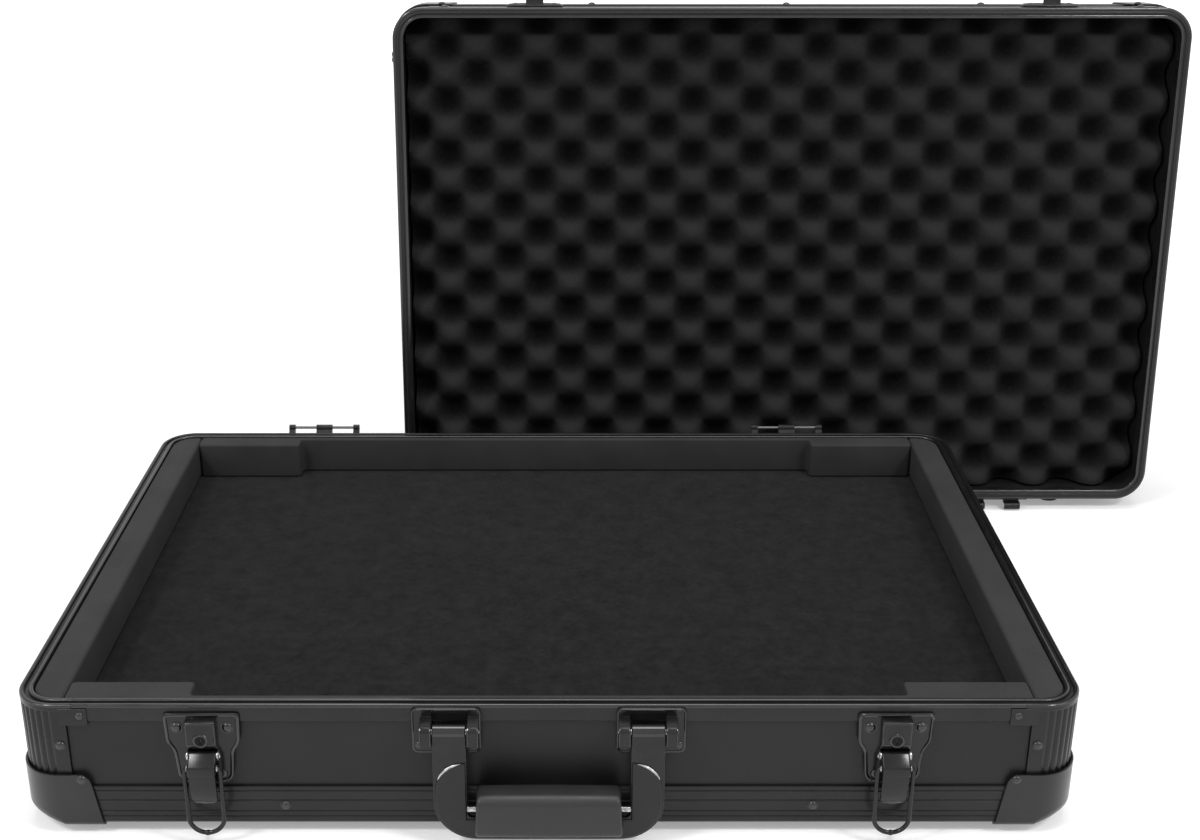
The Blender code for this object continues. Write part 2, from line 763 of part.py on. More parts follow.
def latch_plates():
    near = FRONT - FIT
    for hand, side in HANDS:
        x = side * LATCH_OFFSET
        top = RIM_Z - LATCH_TOP
        half = LATCH_WIDTH / 2
        tail = LATCH_TAIL_WIDTH / 2
        outline = [(x - half + LATCH_ROUND, top), (x - half, top - LATCH_ROUND),
                   (x - half, RIM_Z - LATCH_BEND),
                   (x - tail, RIM_Z - LATCH_BOTTOM + LATCH_ROUND),
                   (x - tail + LATCH_ROUND, RIM_Z - LATCH_BOTTOM)]
        outline += [(2 * x - px, pz) for px, pz in reversed(outline)]
        plate = front_profile(f"latch_plate_{hand}", [outline], -near, -near + PLATE)
        face = near - PLATE / 2
        profile = [(face, RIM_Z - HOUSING_TOP), (FRONT - HOUSING_REACH + HOUSING_ROUND, RIM_Z - HOUSING_TOP),
                   (FRONT - HOUSING_REACH, RIM_Z - HOUSING_TOP - HOUSING_ROUND),
                   (FRONT - HOUSING_REACH, RIM_Z - HOUSING_BEVEL_DROP),
                   (FRONT - HOUSING_FOOT_REACH, RIM_Z - HOUSING_BOTTOM), (face, RIM_Z - HOUSING_BOTTOM)]
        housing = side_profile(f"{plate.name}_housing", profile,
                               x - HOUSING_WIDTH / 2, x + HOUSING_WIDTH / 2)
        join(plate, housing)
        pivot_y = FRONT - LEVER_PIVOT_OUT
        pivot_z = RIM_Z - LEVER_PIVOT_DROP
        ear = [(face, pivot_z + EAR_RADIUS)] + arc((pivot_y, pivot_z), EAR_RADIUS, 90, 270, 8)
        ear.append((face, pivot_z - EAR_RADIUS))
        inner = LEVER_WIDTH / 2 + LEVER_SIDE_CLEARANCE
        for end, sign in (("left", -1), ("right", 1)):
            edges = sorted((x + sign * inner, x + sign * (inner + EAR_WIDTH)))
            join(plate, side_profile(f"{plate.name}_ear_{end}", ear, *edges))
        reach = inner + EAR_WIDTH / 2
        join(plate, rod(f"{plate.name}_pin", LEVER_PIN, (x - reach, pivot_y, pivot_z),
                        (x + reach, pivot_y, pivot_z), 10))
        lock_z = RIM_Z - LOCK_DROP
        bore_start = (x, FRONT - HOUSING_REACH - OVERRUN, lock_z)
        bore_end = (x, FRONT - HOUSING_REACH + LOCK_DEPTH + FIT, lock_z)
        cut(plate, rod(f"{plate.name}_bore", LOCK_RADIUS + FIT, bore_start, bore_end, LOCK_STEPS))
        add_part(plate, "zinc")


def lock_cylinders():
    for hand, side in HANDS:
        x = side * LATCH_OFFSET
        z = RIM_Z - LOCK_DROP
        front = FRONT - HOUSING_REACH - LOCK_PROUD
        lock = rod(f"lock_cylinder_{hand}", LOCK_RADIUS, (x, front, z),
                   (x, FRONT - HOUSING_REACH + LOCK_DEPTH, z), LOCK_STEPS)
        low = (x - KEYWAY_WIDTH / 2, front - OVERRUN, z - KEYWAY_HEIGHT / 2)
        high = (x + KEYWAY_WIDTH / 2, front + KEYWAY_DEPTH, z + KEYWAY_HEIGHT / 2)
        cut(lock, box(f"{lock.name}_keyway", low, high))
        add_part(lock, "brass", origin=(x, front, z))


def lever_outline():
    """Side view of the lever: a ribbon from the bail's boss, in at the waist, out at the tip."""
    ends = [(BAIL_PIVOT_OUT - LEVER_THICKNESS / 2, BAIL_PIVOT_DROP), (LEVER_WAIST_OUT, LEVER_WAIST_DROP),
            (LEVER_TIP_OUT, LEVER_TIP_DROP)]
    steps = 8
    middle = []
    for step in range(steps + 1):
        t = step / steps
        control = [2 * ends[1][k] - (ends[0][k] + ends[2][k]) / 2 for k in (0, 1)]
        middle.append([(1 - t) ** 2 * ends[0][k] + 2 * t * (1 - t) * control[k] + t * t * ends[2][k]
                       for k in (0, 1)])
    left, right = [], []
    for step, (out, drop) in enumerate(middle):
        before = middle[max(step - 1, 0)]
        after = middle[min(step + 1, steps)]
        run = hypot(after[0] - before[0], after[1] - before[1])
        normal = ((after[1] - before[1]) / run, -(after[0] - before[0]) / run)
        half = LEVER_THICKNESS / 2
        left.append((out + half * normal[0], drop + half * normal[1]))
        right.append((out - half * normal[0], drop - half * normal[1]))
    return [(FRONT - out, RIM_Z - drop) for out, drop in left + right[::-1]]


def latch_levers():
    pivot_y = FRONT - LEVER_PIVOT_OUT
    pivot_z = RIM_Z - LEVER_PIVOT_DROP
    bail_y = FRONT - BAIL_PIVOT_OUT
    bail_z = RIM_Z - BAIL_PIVOT_DROP
    for hand, side in HANDS:
        x = side * LATCH_OFFSET
        left, right = x - LEVER_WIDTH / 2, x + LEVER_WIDTH / 2
        lever = side_profile(f"latch_lever_{hand}", lever_outline(), left, right)
        angle = degrees(atan2(bail_z - pivot_z, bail_y - pivot_y))
        body = arc((pivot_y, pivot_z), LEVER_BOSS, angle + 90, angle + 270, 8)
        body += arc((bail_y, bail_z), BAIL_BOSS, angle - 90, angle + 90, 8)
        join(lever, side_profile(f"{lever.name}_body", body, left + WELD, right - WELD))
        tip_low = RIM_Z - LEVER_TIP_DROP - LEVER_THICKNESS / 2
        tip = rounded_outline(left, right, tip_low - WELD, RIM_Z, (LEVER_TIP_RADIUS, LEVER_TIP_RADIUS, 0, 0))
        corners = front_profile(f"{lever.name}_tip", [tip], -FRONT, -FRONT + LEVER_TIP_OUT + OVERRUN)
        keep_inside(lever, corners)
        for name, radius, y, z in (("pin", LEVER_PIN, pivot_y, pivot_z),
                                   ("bail", BAIL_WIRE, bail_y, bail_z)):
            start = (left - OVERRUN, y, z)
            cut(lever, rod(f"{lever.name}_{name}_bore", radius + FIT, start, (right + OVERRUN, y, z), 12))
        add_part(lever, "zinc", origin=(x, pivot_y, pivot_z))


def latch_bails():
    y = FRONT - BAIL_PIVOT_OUT
    z = RIM_Z - BAIL_PIVOT_DROP
    half = BAIL_WIDTH / 2 - BAIL_WIRE
    end = LEVER_WIDTH / 2 - BAIL_PIN_DEPTH
    bend = half - LEVER_WIDTH / 2 - FIT
    loop = [(-end, 0)] + arc((-half + bend, -bend), bend, 90, 180, 3)
    loop += arc((0, half - bail_length()), half, 180, 360, 10)
    loop += arc((half - bend, -bend), bend, 0, 90, 3) + [(end, 0)]
    for hand, side in HANDS:
        x = side * LATCH_OFFSET
        bail = wire(f"latch_bail_{hand}", [(x + px, y, z + pz) for px, pz in loop], BAIL_WIRE)
        add_part(bail, "zinc", origin=(x, y, z))


def handle_brackets():
    pin_y = FRONT - HANDLE_PIN_OUT
    pin_z = RIM_Z - HANDLE_PIN_DROP
    for hand, side in HANDS:
        x = side * BRACKET_OFFSET
        half = BRACKET_WIDTH / 2
        high = RIM_Z - BRACKET_TOP
        low = high - BRACKET_HEIGHT
        outline = rounded_outline(x - half, x + half, low, high, BRACKET_ROUND, 3)
        eye = side * HANDLE_EYE_OFFSET
        window_half = BRACKET_WINDOW_WIDTH / 2
        window_low = pin_z - BRACKET_WINDOW_HEIGHT / 2
        window = rounded_outline(eye - window_half + LUG_WIDTH, eye + window_half - LUG_WIDTH,
                                 window_low, window_low + BRACKET_WINDOW_HEIGHT, PLATE, 2)
        near = -FRONT + FIT
        plate = front_profile(f"handle_bracket_{hand}", [outline, window], near, near + PLATE)
        face = FRONT - FIT - PLATE / 2
        lug = [(face, pin_z + LUG_RADIUS + PLATE)] + arc((pin_y, pin_z), LUG_RADIUS, 90, 270, 8)
        lug.append((face, pin_z - LUG_RADIUS - PLATE))
        inner = EYE_WIDTH / 2 + EYE_CLEARANCE
        for end, sign in (("left", -1), ("right", 1)):
            edges = sorted((eye + sign * inner, eye + sign * (inner + LUG_WIDTH)))
            join(plate, side_profile(f"{plate.name}_lug_{end}", lug, *edges))
        reach = inner + LUG_WIDTH / 2
        join(plate, rod(f"{plate.name}_pin", HANDLE_PIN, (eye - reach, pin_y, pin_z),
                        (eye + reach, pin_y, pin_z), 12))
        add_part(plate, "zinc")


def handle():
    pin_y = FRONT - HANDLE_PIN_OUT
    pin_z = RIM_Z - HANDLE_PIN_DROP
    half = HANDLE_WIDTH / 2
    inner_half = half - HANDLE_ARM
    low = pin_z - HANDLE_DROP
    bar_top = low + HANDLE_BAR
    near = HANDLE_PIN_OUT + EYE_RADIUS - HANDLE_THICKNESS - FRONT
    far = near + HANDLE_THICKNESS
    shoulder = pin_z - EYE_RADIUS / 2
    outer = arc((-half + HANDLE_OUTER_RADIUS, low + HANDLE_OUTER_RADIUS), HANDLE_OUTER_RADIUS, 180, 270, 6)
    outer += arc((half - HANDLE_OUTER_RADIUS, low + HANDLE_OUTER_RADIUS), HANDLE_OUTER_RADIUS, 270, 360, 6)
    bend = HANDLE_INNER_RADIUS
    inner = arc((inner_half - bend, bar_top + bend), bend, 0, -90, 4)
    inner += arc((-inner_half + bend, bar_top + bend), bend, 270, 180, 4)
    middle = HANDLE_EYE_OFFSET
    waist = EYE_WIDTH / 2
    neck = shoulder - EYE_RADIUS
    wide = shoulder - 2 * EYE_RADIUS
    outline = [(-middle - waist, pin_z), (-middle - waist, neck), (-half, wide)]
    outline += outer + [(half, wide), (middle + waist, neck), (middle + waist, pin_z),
                        (middle - waist, pin_z), (middle - waist, neck), (inner_half, wide)]
    outline += inner + [(-inner_half, wide), (-middle + waist, neck), (-middle + waist, pin_z)]
    frame = front_profile("handle_frame", [outline], near, far)
    for hand, side in HANDS:
        start = (side * middle - waist, pin_y, pin_z)
        end = (side * middle + waist, pin_y, pin_z)
        join(frame, rod(f"handle_frame_eye_{hand}", EYE_RADIUS, start, end, 20))
    for hand, side in HANDS:
        start = (side * middle - waist - OVERRUN, pin_y, pin_z)
        end = (side * middle + waist + OVERRUN, pin_y, pin_z)
        cut(frame, rod(f"handle_frame_bore_{hand}", HANDLE_PIN + FIT, start, end, 16))
    add_part(frame, "zinc", origin=(0, pin_y, pin_z))
    grip_z = RIM_Z - GRIP_CENTRE_DROP
    grip_y = FRONT - GRIP_OUT
    profile = rounded_outline(grip_y - GRIP_THICKNESS / 2, grip_y + GRIP_THICKNESS / 2,
                              grip_z - GRIP_HEIGHT / 2, grip_z + GRIP_HEIGHT / 2, GRIP_ROUND, 4)
    grip = side_profile("handle_grip", profile, -GRIP_WIDTH / 2, GRIP_WIDTH / 2)
    low_corner = (-GRIP_WIDTH / 2 - OVERRUN, -far - FIT, low - OVERRUN)
    high_corner = (GRIP_WIDTH / 2 + OVERRUN, -near + FIT, bar_top + FIT)
    cut(grip, box("handle_grip_slot", low_corner, high_corner))
    add_part(grip, "grip", origin=(0, pin_y, pin_z))


def hinge_leaves():
    knuckles = ((-1, KNUCKLE_END), (0, KNUCKLE_MIDDLE), (1, KNUCKLE_END))
    for hand, side in HANDS:
        x = side * HINGE_OFFSET
        half = HINGE_WIDTH / 2
        near = HALF_DEPTH + FIT
        outline = rounded_outline(x - half, x + half, RIM_Z - LEAF_DROP, RIM_Z - LEAF_TOP,
                                  (LEAF_ROUND, LEAF_ROUND, 0, 0), 3)
        leaf = front_profile(f"base_hinge_leaf_{hand}", [outline], -near - PLATE, -near)
        face = near + PLATE / 2
        knuckle = [(face, RIM_Z - KNUCKLE_FOOT), (PIN_Y, PIN_Z - 2 * KNUCKLE)]
        knuckle += arc((PIN_Y, PIN_Z), KNUCKLE, -40, 200, 10)
        knuckle.append((face, RIM_Z - LEAF_TOP - PLATE))
        for place, width in knuckles:
            centre = x + place * (half - KNUCKLE_END / 2)
            block = side_profile(f"{leaf.name}_knuckle_{place + 1}", knuckle,
                                 centre - width / 2, centre + width / 2)
            join(leaf, block)
        cut(leaf, rod(f"{leaf.name}_bore", HINGE_PIN + FIT, (x - half - OVERRUN, PIN_Y, PIN_Z),
                      (x + half + OVERRUN, PIN_Y, PIN_Z), 12))
        add_part(leaf, "zinc")
        pin = rod(f"hinge_pin_{hand}", HINGE_PIN, (x - half, PIN_Y, PIN_Z), (x + half, PIN_Y, PIN_Z), 12)
        add_part(pin, "zinc", origin=(x, PIN_Y, PIN_Z))


def lid_stand():
    """The empty that stands the closed lid up behind the base, on its hinge-side feet."""
    open_turn = Matrix.Rotation(radians(-LID_OPEN_ANGLE), 4, "X")
    pin = Vector((0, PIN_Y, PIN_Z))
    opened = Matrix.Translation(pin) @ open_turn @ Matrix.Translation(-pin)
    foot_end = HALF_DEPTH + WALL_FOOT_HEIGHT
    foot_edge = LID_FOOT_Z + WALL_FOOT_RADIUS - FOOT_TAPER - FOOT_ROUND
    lowest = (opened @ Vector((0, foot_end, foot_edge))).z
    shift = Vector((LID_SHIFT, LID_BACK_TRAVEL, FLOOR_Z - lowest))
    stand = bpy.data.objects.new("lid_stand", None)
    stand.matrix_world = Matrix.Translation(shift) @ opened
    collection("dj_controller_flight_case").objects.link(stand)
    return stand


def lid_boards(stand):
    top = LID_TOP - BOARD_FACE
    add_part(chamfered_board("lid_top_board", top - BOARD, top), "laminate", stand)
    low = LID_Z + CROWN + FIT
    ring_top = LID_TOP - POST_FOOT
    inner = (BOARD_FACE + 2 * FIT, BOARD_BACK - FIT)
    section = [(inner[0], low), (inner[0], ring_top), (inner[1], ring_top), (inner[1], low)]
    ring = sweep("lid_side_boards", section, plan_outline(0)[::-1], True)
    for number, (side, _corner, length) in enumerate(SIDES):
        board = box(f"lid_{side}_board", (BOARD_START, BOARD_FACE, low),
                    (length - BOARD_START, BOARD_BACK, top))
        join(ring, set_on_side(board, number))
    add_part(ring, "laminate", stand)


def lid_rim(stand):
    rim = sweep("lid_rim_frame", rim_section(LID_Z, 1, True), plan_outline(0)[::-1], True)
    for number, corner in enumerate(CORNERS):
        outline = reeded_outline(2 * FIT, BOARD_FACE, POST_LENGTH)
        skin = flat(f"lid_corner_skin_{corner}", [outline], LID_Z + CROWN / 2, LID_TOP - POST_FOOT)
        join(rim, set_on_side(skin, number))
    add_part(rim, "aluminium", stand)


def lid_edges(stand):
    flip = Matrix.Translation((0, 0, LID_TOP + UNDERSIDE)) @ Matrix.Rotation(pi, 4, Vector((1, 1, 0)))
    frame = None
    for number, (side, _corner, length) in enumerate(SIDES):
        path = [(length - EDGE_RAIL_START, 0), (EDGE_RAIL_START, 0)]
        section = [(inset, LID_TOP + UNDERSIDE - height) for inset, height in edge_section(LID_EDGE_HEIGHT)]
        rail = sweep(f"lid_edge_{side}", section, path, False)
        rail = set_on_side(rail, number)
        if frame is None:
            frame = rail
            frame.name = "lid_edge_frame"
        else:
            join(frame, rail, "MANIFOLD")
    for number, corner in enumerate(CORNERS):
        cap = cap_mesh(f"lid_ball_corner_{corner}", -REED_INSET, LID_CAP_HEIGHT)
        cap.data.transform(flip)
        join(frame, set_on_side(cap, number), "MANIFOLD")
    add_part(frame, "aluminium", stand)


def lid_foam(stand):
    """Egg-crate foam: rows of peaks, each row moved by half a pitch."""
    low = LID_Z + CRATE_DROP
    high = LID_TOP - LINER
    half_x = HALF_WIDTH - FOAM_INSET
    half_y = HALF_DEPTH - FOAM_INSET
    steps_x = round(2 * half_x / CRATE_PITCH_X * CRATE_STEPS_PER_PITCH)
    steps_y = round(2 * half_y / CRATE_PITCH_Y * CRATE_STEPS_PER_PITCH)
    mesh = bpy.data.meshes.new("lid_foam")
    edit = bmesh.new()
    bmesh.ops.create_grid(edit, x_segments=steps_x, y_segments=steps_y, size=1)
    for vert in edit.verts:
        x, y = vert.co.x * half_x, vert.co.y * half_y
        wave = cos(2 * pi * x / CRATE_PITCH_X) * cos(pi * y / CRATE_PITCH_Y)
        vert.co = (x, y, low + CRATE_WAVE * (1 - wave) / 2)
    rim = [edge for edge in edit.edges if edge.is_boundary]
    walls = bmesh.ops.extrude_edge_only(edit, edges=rim)
    lifted = [item for item in walls["geom"] if isinstance(item, bmesh.types.BMVert)]
    for vert in lifted:
        vert.co.z = high
    border = [item for item in walls["geom"] if isinstance(item, bmesh.types.BMEdge)]
    bmesh.ops.contextual_create(edit, geom=border)
    edit.to_mesh(mesh)
    edit.free()
    foam = smooth(add_mesh("lid_foam", mesh))
    limits = flat("lid_foam_outline", [plan_outline(FOAM_INSET + FIT)], low - OVERRUN, high + OVERRUN)
    keep_inside(foam, limits)
    add_part(foam, "foam", stand)


def lid_catches(stand):
    """A plate with a round-topped shelf, where the bail's loop seats, and a lip before it."""
    seat_z = LID_Z + SEAT_RISE - BAIL_WIRE - SEAT_CLEARANCE
    seat_radius = BAIL_WIDTH / 2 - 2 * BAIL_WIRE - SEAT_CLEARANCE
    end_angle = degrees(asin(1 - CATCH_SHELF / seat_radius))
    for hand, side in HANDS:
        x = side * LATCH_OFFSET
        low = LID_Z + CATCH_START
        outline = rounded_outline(x - CATCH_WIDTH / 2, x + CATCH_WIDTH / 2,
                                  low, low + CATCH_HEIGHT, LATCH_ROUND, 3)
        plate = front_profile(f"lid_catch_{hand}", [outline], -FRONT + FIT, -FRONT + FIT + PLATE)
        face = FRONT - FIT - PLATE / 2
        end = FRONT - CATCH_REACH
        shelf = arc((x, seat_z - seat_radius), seat_radius, end_angle, 180 - end_angle, 8)
        join(plate, front_profile(f"{plate.name}_shelf", [shelf], -face, -end - CATCH_LIP / 2))
        lip = [(end + CATCH_LIP, seat_z + CATCH_LIP_HEIGHT), (end, seat_z + CATCH_LIP_HEIGHT),
               (end, seat_z - CATCH_SHELF / 2), (end + CATCH_LIP, seat_z - CATCH_SHELF)]
        half = CATCH_BLOCK_WIDTH / 2
        join(plate, side_profile(f"{plate.name}_lip", lip, x - half, x + half))
        add_part(plate, "zinc", stand)


def lid_hooks(stand):
    """Two hooks on one leaf per hinge; each curls under the pin between two knuckles."""
    near = HALF_DEPTH + FIT
    for hand, side in HANDS:
        x = side * HINGE_OFFSET
        half = HINGE_WIDTH / 2
        low = PIN_Z + HOOK_SHELF_LOW
        outline = rounded_outline(x - half, x + half, low, low + HOOK_LEAF_RISE,
                                  (0, 0, LEAF_ROUND, LEAF_ROUND), 3)
        leaf = front_profile(f"lid_hinge_hooks_{hand}", [outline], -near - PLATE, -near)
        face = near + PLATE / 2
        shelf = PIN_Z + HOOK_SHELF_TOP
        hook = [(face, shelf), (face, low), (PIN_Y - HOOK_OUTER, low)]
        hook += arc((PIN_Y, PIN_Z), HOOK_OUTER, 180, HOOK_END_ANGLE, 8)
        hook += arc((PIN_Y, PIN_Z), HOOK_INNER, HOOK_END_ANGLE, 180, 8)
        hook.append((PIN_Y - HOOK_INNER, shelf))
        span = (HINGE_WIDTH - 2 * KNUCKLE_END - KNUCKLE_MIDDLE) / 2
        for number, sign in enumerate((-1, 1)):
            centre = x + sign * (KNUCKLE_MIDDLE + span) / 2
            left = centre - HOOK_WIDTH / 2
            join(leaf, side_profile(f"{leaf.name}_{number}", hook, left, left + HOOK_WIDTH))
        add_part(leaf, "zinc", stand)


def lid_feet(stand):
    for hand, side in HANDS:
        place = Matrix.Translation((side * WALL_FOOT_OFFSET, HALF_DEPTH - BOARD_FACE + FIT, LID_FOOT_Z))
        turn = Matrix.Rotation(pi / 2, 4, "X")
        profile = foot_profile(WALL_FOOT_RADIUS, WALL_FOOT_HEIGHT + BOARD_FACE - FIT)
        foot = turned(f"lid_foot_{hand}", profile, FOOT_STEPS, place @ turn)
        add_part(foot, "rubber", stand)


def build():
    clear_scene()
    base_panels()
    base_rims()
    corner_posts()
    base_edge_rails()
    base_corner_caps()
    base_feet()
    base_foam()
    latch_plates()
    lock_cylinders()
    latch_levers()
    latch_bails()
    handle_brackets()
    handle()
    hinge_leaves()
    stand = lid_stand()
    lid_boards(stand)
    lid_rim(stand)
    lid_edges(stand)
    lid_foam(stand)
    lid_catches(stand)
    lid_hooks(stand)
    lid_feet(stand)


build()
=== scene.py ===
"""Looks of a black DJ controller flight case: a foam-lined base and its lid stood behind it.

Metres, +Z up, the front of the base towards -Y. Lid pieces are made in their closed place
and carried to where the lid stands, so one set of sizes serves both halves.
"""

from math import acos, asin, atan2, cos, degrees, hypot, pi, radians, sin, sqrt
import json

import bmesh
import bpy
from mathutils import Matrix, Vector


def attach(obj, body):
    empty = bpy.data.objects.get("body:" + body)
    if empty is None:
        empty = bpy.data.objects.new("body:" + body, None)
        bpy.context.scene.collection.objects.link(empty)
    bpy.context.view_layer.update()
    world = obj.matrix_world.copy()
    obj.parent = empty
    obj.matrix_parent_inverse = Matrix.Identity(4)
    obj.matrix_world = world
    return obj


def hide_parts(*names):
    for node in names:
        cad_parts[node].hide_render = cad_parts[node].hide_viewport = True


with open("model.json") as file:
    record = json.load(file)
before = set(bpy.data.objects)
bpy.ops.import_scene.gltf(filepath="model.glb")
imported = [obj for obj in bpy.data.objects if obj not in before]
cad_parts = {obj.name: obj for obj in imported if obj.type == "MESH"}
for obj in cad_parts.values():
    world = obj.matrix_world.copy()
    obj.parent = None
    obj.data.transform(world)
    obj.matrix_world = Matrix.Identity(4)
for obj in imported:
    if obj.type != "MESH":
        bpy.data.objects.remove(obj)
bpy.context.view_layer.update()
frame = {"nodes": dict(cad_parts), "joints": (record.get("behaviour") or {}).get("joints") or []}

# Outer sizes of the case and its sheet parts
CASE_WIDTH = 0.640
CASE_DEPTH = 0.416
CORNER_RADIUS = 0.025
CORNER_STEPS = 18
FIT = 0.0003
PROFILE = 0.0015
BOARD_FACE = PROFILE + FIT
BOARD_BACK = BOARD_FACE + 0.005
LINER = BOARD_BACK + FIT
RIM_WIDTH = LINER + 0.0014
FOAM_INSET = RIM_WIDTH + FIT
UNDERSIDE = -BOARD_FACE
RIM_Z = 0.0822
LID_Z = 0.0827
LID_TOP = 0.1397
FLOOR_Z = -0.009
FOAM_FLOOR = 0.0532
BOLSTER = 0.030
LINING = 0.004
CRATE_DROP = 0.012
CRATE_WAVE = 0.020
HALF_WIDTH = CASE_WIDTH / 2
HALF_DEPTH = CASE_DEPTH / 2
FRONT = -HALF_DEPTH
PLATE_BACK = FRONT - FIT
PLATE = 0.0015
PLATE_CORNER = 0.003
PLATE_FACE = PLATE_BACK - PLATE

# Rim, posts, rails and corner caps
RIM_DEPTH = 0.011
RIM_INNER_DEPTH = 0.010
CROWN = 0.0035
RIM_ROUND = 0.0013
GROOVE = (0.003, 0.0055, 0.002)
TONGUE = (0.0035, 0.005, 0.001)
POST_TOP = 0.037
POST_SIDE = 0.0327
POST_TAB = 0.046
POST_TAB_DEPTH = 0.014
POST_FOOT = 0.0205
REEDS = 8
REED_DEPTH = 0.0008
RAIL_START = 0.036
RAIL_LEG = 0.022
BASE_RAIL = 0.027
LID_RAIL = 0.020
BASE_CAP = 0.036
LID_CAP = 0.030
CAP_TOP_LENGTH = 0.043
CAP_FOOT_LENGTH = 0.049
CAP_EDGE = 0.0004

# Latches and handle
LATCH_X = 0.206
LEVER_HALF = 0.008
EAR_INNER = LEVER_HALF + FIT
EAR_RADIUS = 0.0029
LATCH_PIN = (FRONT - 0.005, RIM_Z - 0.0315)
BAIL_PIN = (FRONT - 0.0105, RIM_Z - 0.037)
BAIL_WIRE = 0.0014
BAIL_WIDTH = 0.024
CATCH_HEIGHT = 0.008
CATCH_REACH = 0.0066
HOUSING_FACE = FRONT - 0.0078
HANDLE_HALF = 0.069
HANDLE_ARM = 0.0205
ARM_INNER = HANDLE_HALF - HANDLE_ARM
HANDLE_PIN = (FRONT - 0.009, RIM_Z - 0.0125)
HANDLE_LOW = RIM_Z - 0.0855
HANDLE_BAR = 0.0155
HANDLE_BEND = 0.026
EYE_RADIUS = 0.0045
YOKE_FACE = 0.009 + EYE_RADIUS - FRONT
SHOULDER = (HANDLE_HALF - 0.019, HANDLE_PIN[1] - 0.036)
GRIP_Y = FRONT - 0.0135
GRIP_Z = RIM_Z - 0.065
LUG_INNER = 0.0104
LUG_WIDTH = 0.0072
BRACKET_X = 0.061
EYE_X = HANDLE_HALF - HANDLE_ARM / 2
HINGE_X = 0.1915
PIN_Z = 0.0842
WALL_FOOT_X = 0.2445

# sides with their lengths, each from the corner of the same number
SIDES = (("front", CASE_WIDTH), ("right", CASE_DEPTH), ("rear", CASE_WIDTH), ("left", CASE_DEPTH))
CORNERS = (("front_left", -1, -1), ("front_right", 1, -1), ("rear_right", 1, 1), ("rear_left", -1, 1))
HANDS = (("left", -1), ("right", 1))

# Flat shapes are drawn in (u, v) and thickened along w; these set them on a wall
ON_PLAN = Matrix()
ON_SIDE_VIEW = Matrix(((0, 0, 1, 0), (1, 0, 0, 0), (0, 1, 0, 0), (0, 0, 0, 1)))
ON_FRONT_VIEW = Matrix(((1, 0, 0, 0), (0, 0, -1, 0), (0, 1, 0, 0), (0, 0, 0, 1)))


def lid_place():
    """From the closed lid to the lid as it stands behind the base, by the part's own joints."""
    joints = {joint["name"]: joint for joint in frame["joints"]}
    pin = Vector(joints["lid_hinge"]["pos_m"])
    lift = joints["lid_lift_off"]
    shift = -Vector(lift["axis"]) * lift["range_m"][1]
    turn = Matrix.Rotation(-radians(joints["lid_hinge"]["range_deg"][1]), 4, "X")
    return Matrix.Translation(shift + pin) @ turn @ Matrix.Translation(-pin)


LID = lid_place()


def corner_place(number):
    _corner, x, y = CORNERS[number]
    turn = Matrix.Rotation(number * pi / 2, 4, "Z")
    return Matrix.Translation((x * HALF_WIDTH, y * HALF_DEPTH, 0)) @ turn


# Nodes and finishes


def feed(tree, made, inputs):
    """Gives each named input of a node its link or its value."""
    for name, source in inputs.items():
        if hasattr(source, "is_output"):
            tree.links.new(source, made.inputs[name])
        else:
            made.inputs[name].default_value = source
    return made


def node(tree, kind, inputs=None, **settings):
    made = tree.nodes.new(kind)
    for name, value in settings.items():
        setattr(made, name, value)
    return feed(tree, made, inputs or {})


def math_node(tree, operation, *values):
    return node(tree, "ShaderNodeMath", dict(enumerate(values)), operation=operation).outputs[0]


class Finish:
    """A material on Object coordinates, with short ways to its grain, relief and tones."""

    def __init__(self, name, colour, specular, metallic=0.0):
        self.material = bpy.data.materials.new(name)
        self.material.use_nodes = True
        self.tree = self.material.node_tree
        self.shader = self.tree.nodes["Principled BSDF"]
        self.place = node(self.tree, "ShaderNodeTexCoord").outputs["Object"]
        self.colour, self.patterns, self.relief = colour, {}, None
        feed(self.tree, self.shader, {"Metallic": metallic, "Specular IOR Level": specular})

    def pattern(self, *sizes):
        """Noise of (size, detail, roughness, stretch), or round cells of (size,)."""
        if sizes not in self.patterns:
            inputs = {"Vector": self.place, "Scale": 1 / sizes[0]}
            if len(sizes) == 1:
                made = node(self.tree, "ShaderNodeTexVoronoi", inputs).outputs["Distance"]
            else:
                inputs["Detail"] = sizes[1]
                inputs["Roughness"] = sizes[2] if len(sizes) > 2 else 0.5
                if len(sizes) > 3:
                    stretched = {"Vector": self.place, "Scale": sizes[3]}
                    inputs["Vector"] = node(self.tree, "ShaderNodeMapping", stretched).outputs[0]
                made = node(self.tree, "ShaderNodeTexNoise", inputs).outputs["Fac"]
            self.patterns[sizes] = made
        return self.patterns[sizes]

    def spread(self, value, low, high, start=0.3, end=0.7):
        return node(self.tree, "ShaderNodeMapRange", {
            "Value": value, "From Min": start, "From Max": end, "To Min": low, "To Max": high}).outputs[0]

    def tint(self, value, low, high, start=0.3, end=0.7):
        """Colour between two shades of the finish's own colour, by a pattern."""
        ramp = node(self.tree, "ShaderNodeValToRGB", {"Fac": value})
        for stop, position, share in zip(ramp.color_ramp.elements, (start, end), (low, high)):
            stop.position = position
            stop.color = (*(part * share for part in self.colour), 1)
        return ramp.outputs["Color"]

    def raise_by(self, value, height, strength):
        """Relief of a height in metres, laid over the relief before it."""
        inputs = {"Height": value, "Distance": height, "Strength": strength}
        if self.relief:
            inputs["Normal"] = self.relief
        self.relief = node(self.tree, "ShaderNodeBump", inputs).outputs["Normal"]

    def soft_edges(self, radius):
        self.relief = node(self.tree, "ShaderNodeBevel", {"Radius": radius}, samples=4).outputs["Normal"]

    def done(self, colour, roughness):
        feed(self.tree, self.shader, {"Base Color": colour, "Roughness": roughness})
        if self.relief:
            self.tree.links.new(self.relief, self.shader.inputs["Normal"])
        return self.material


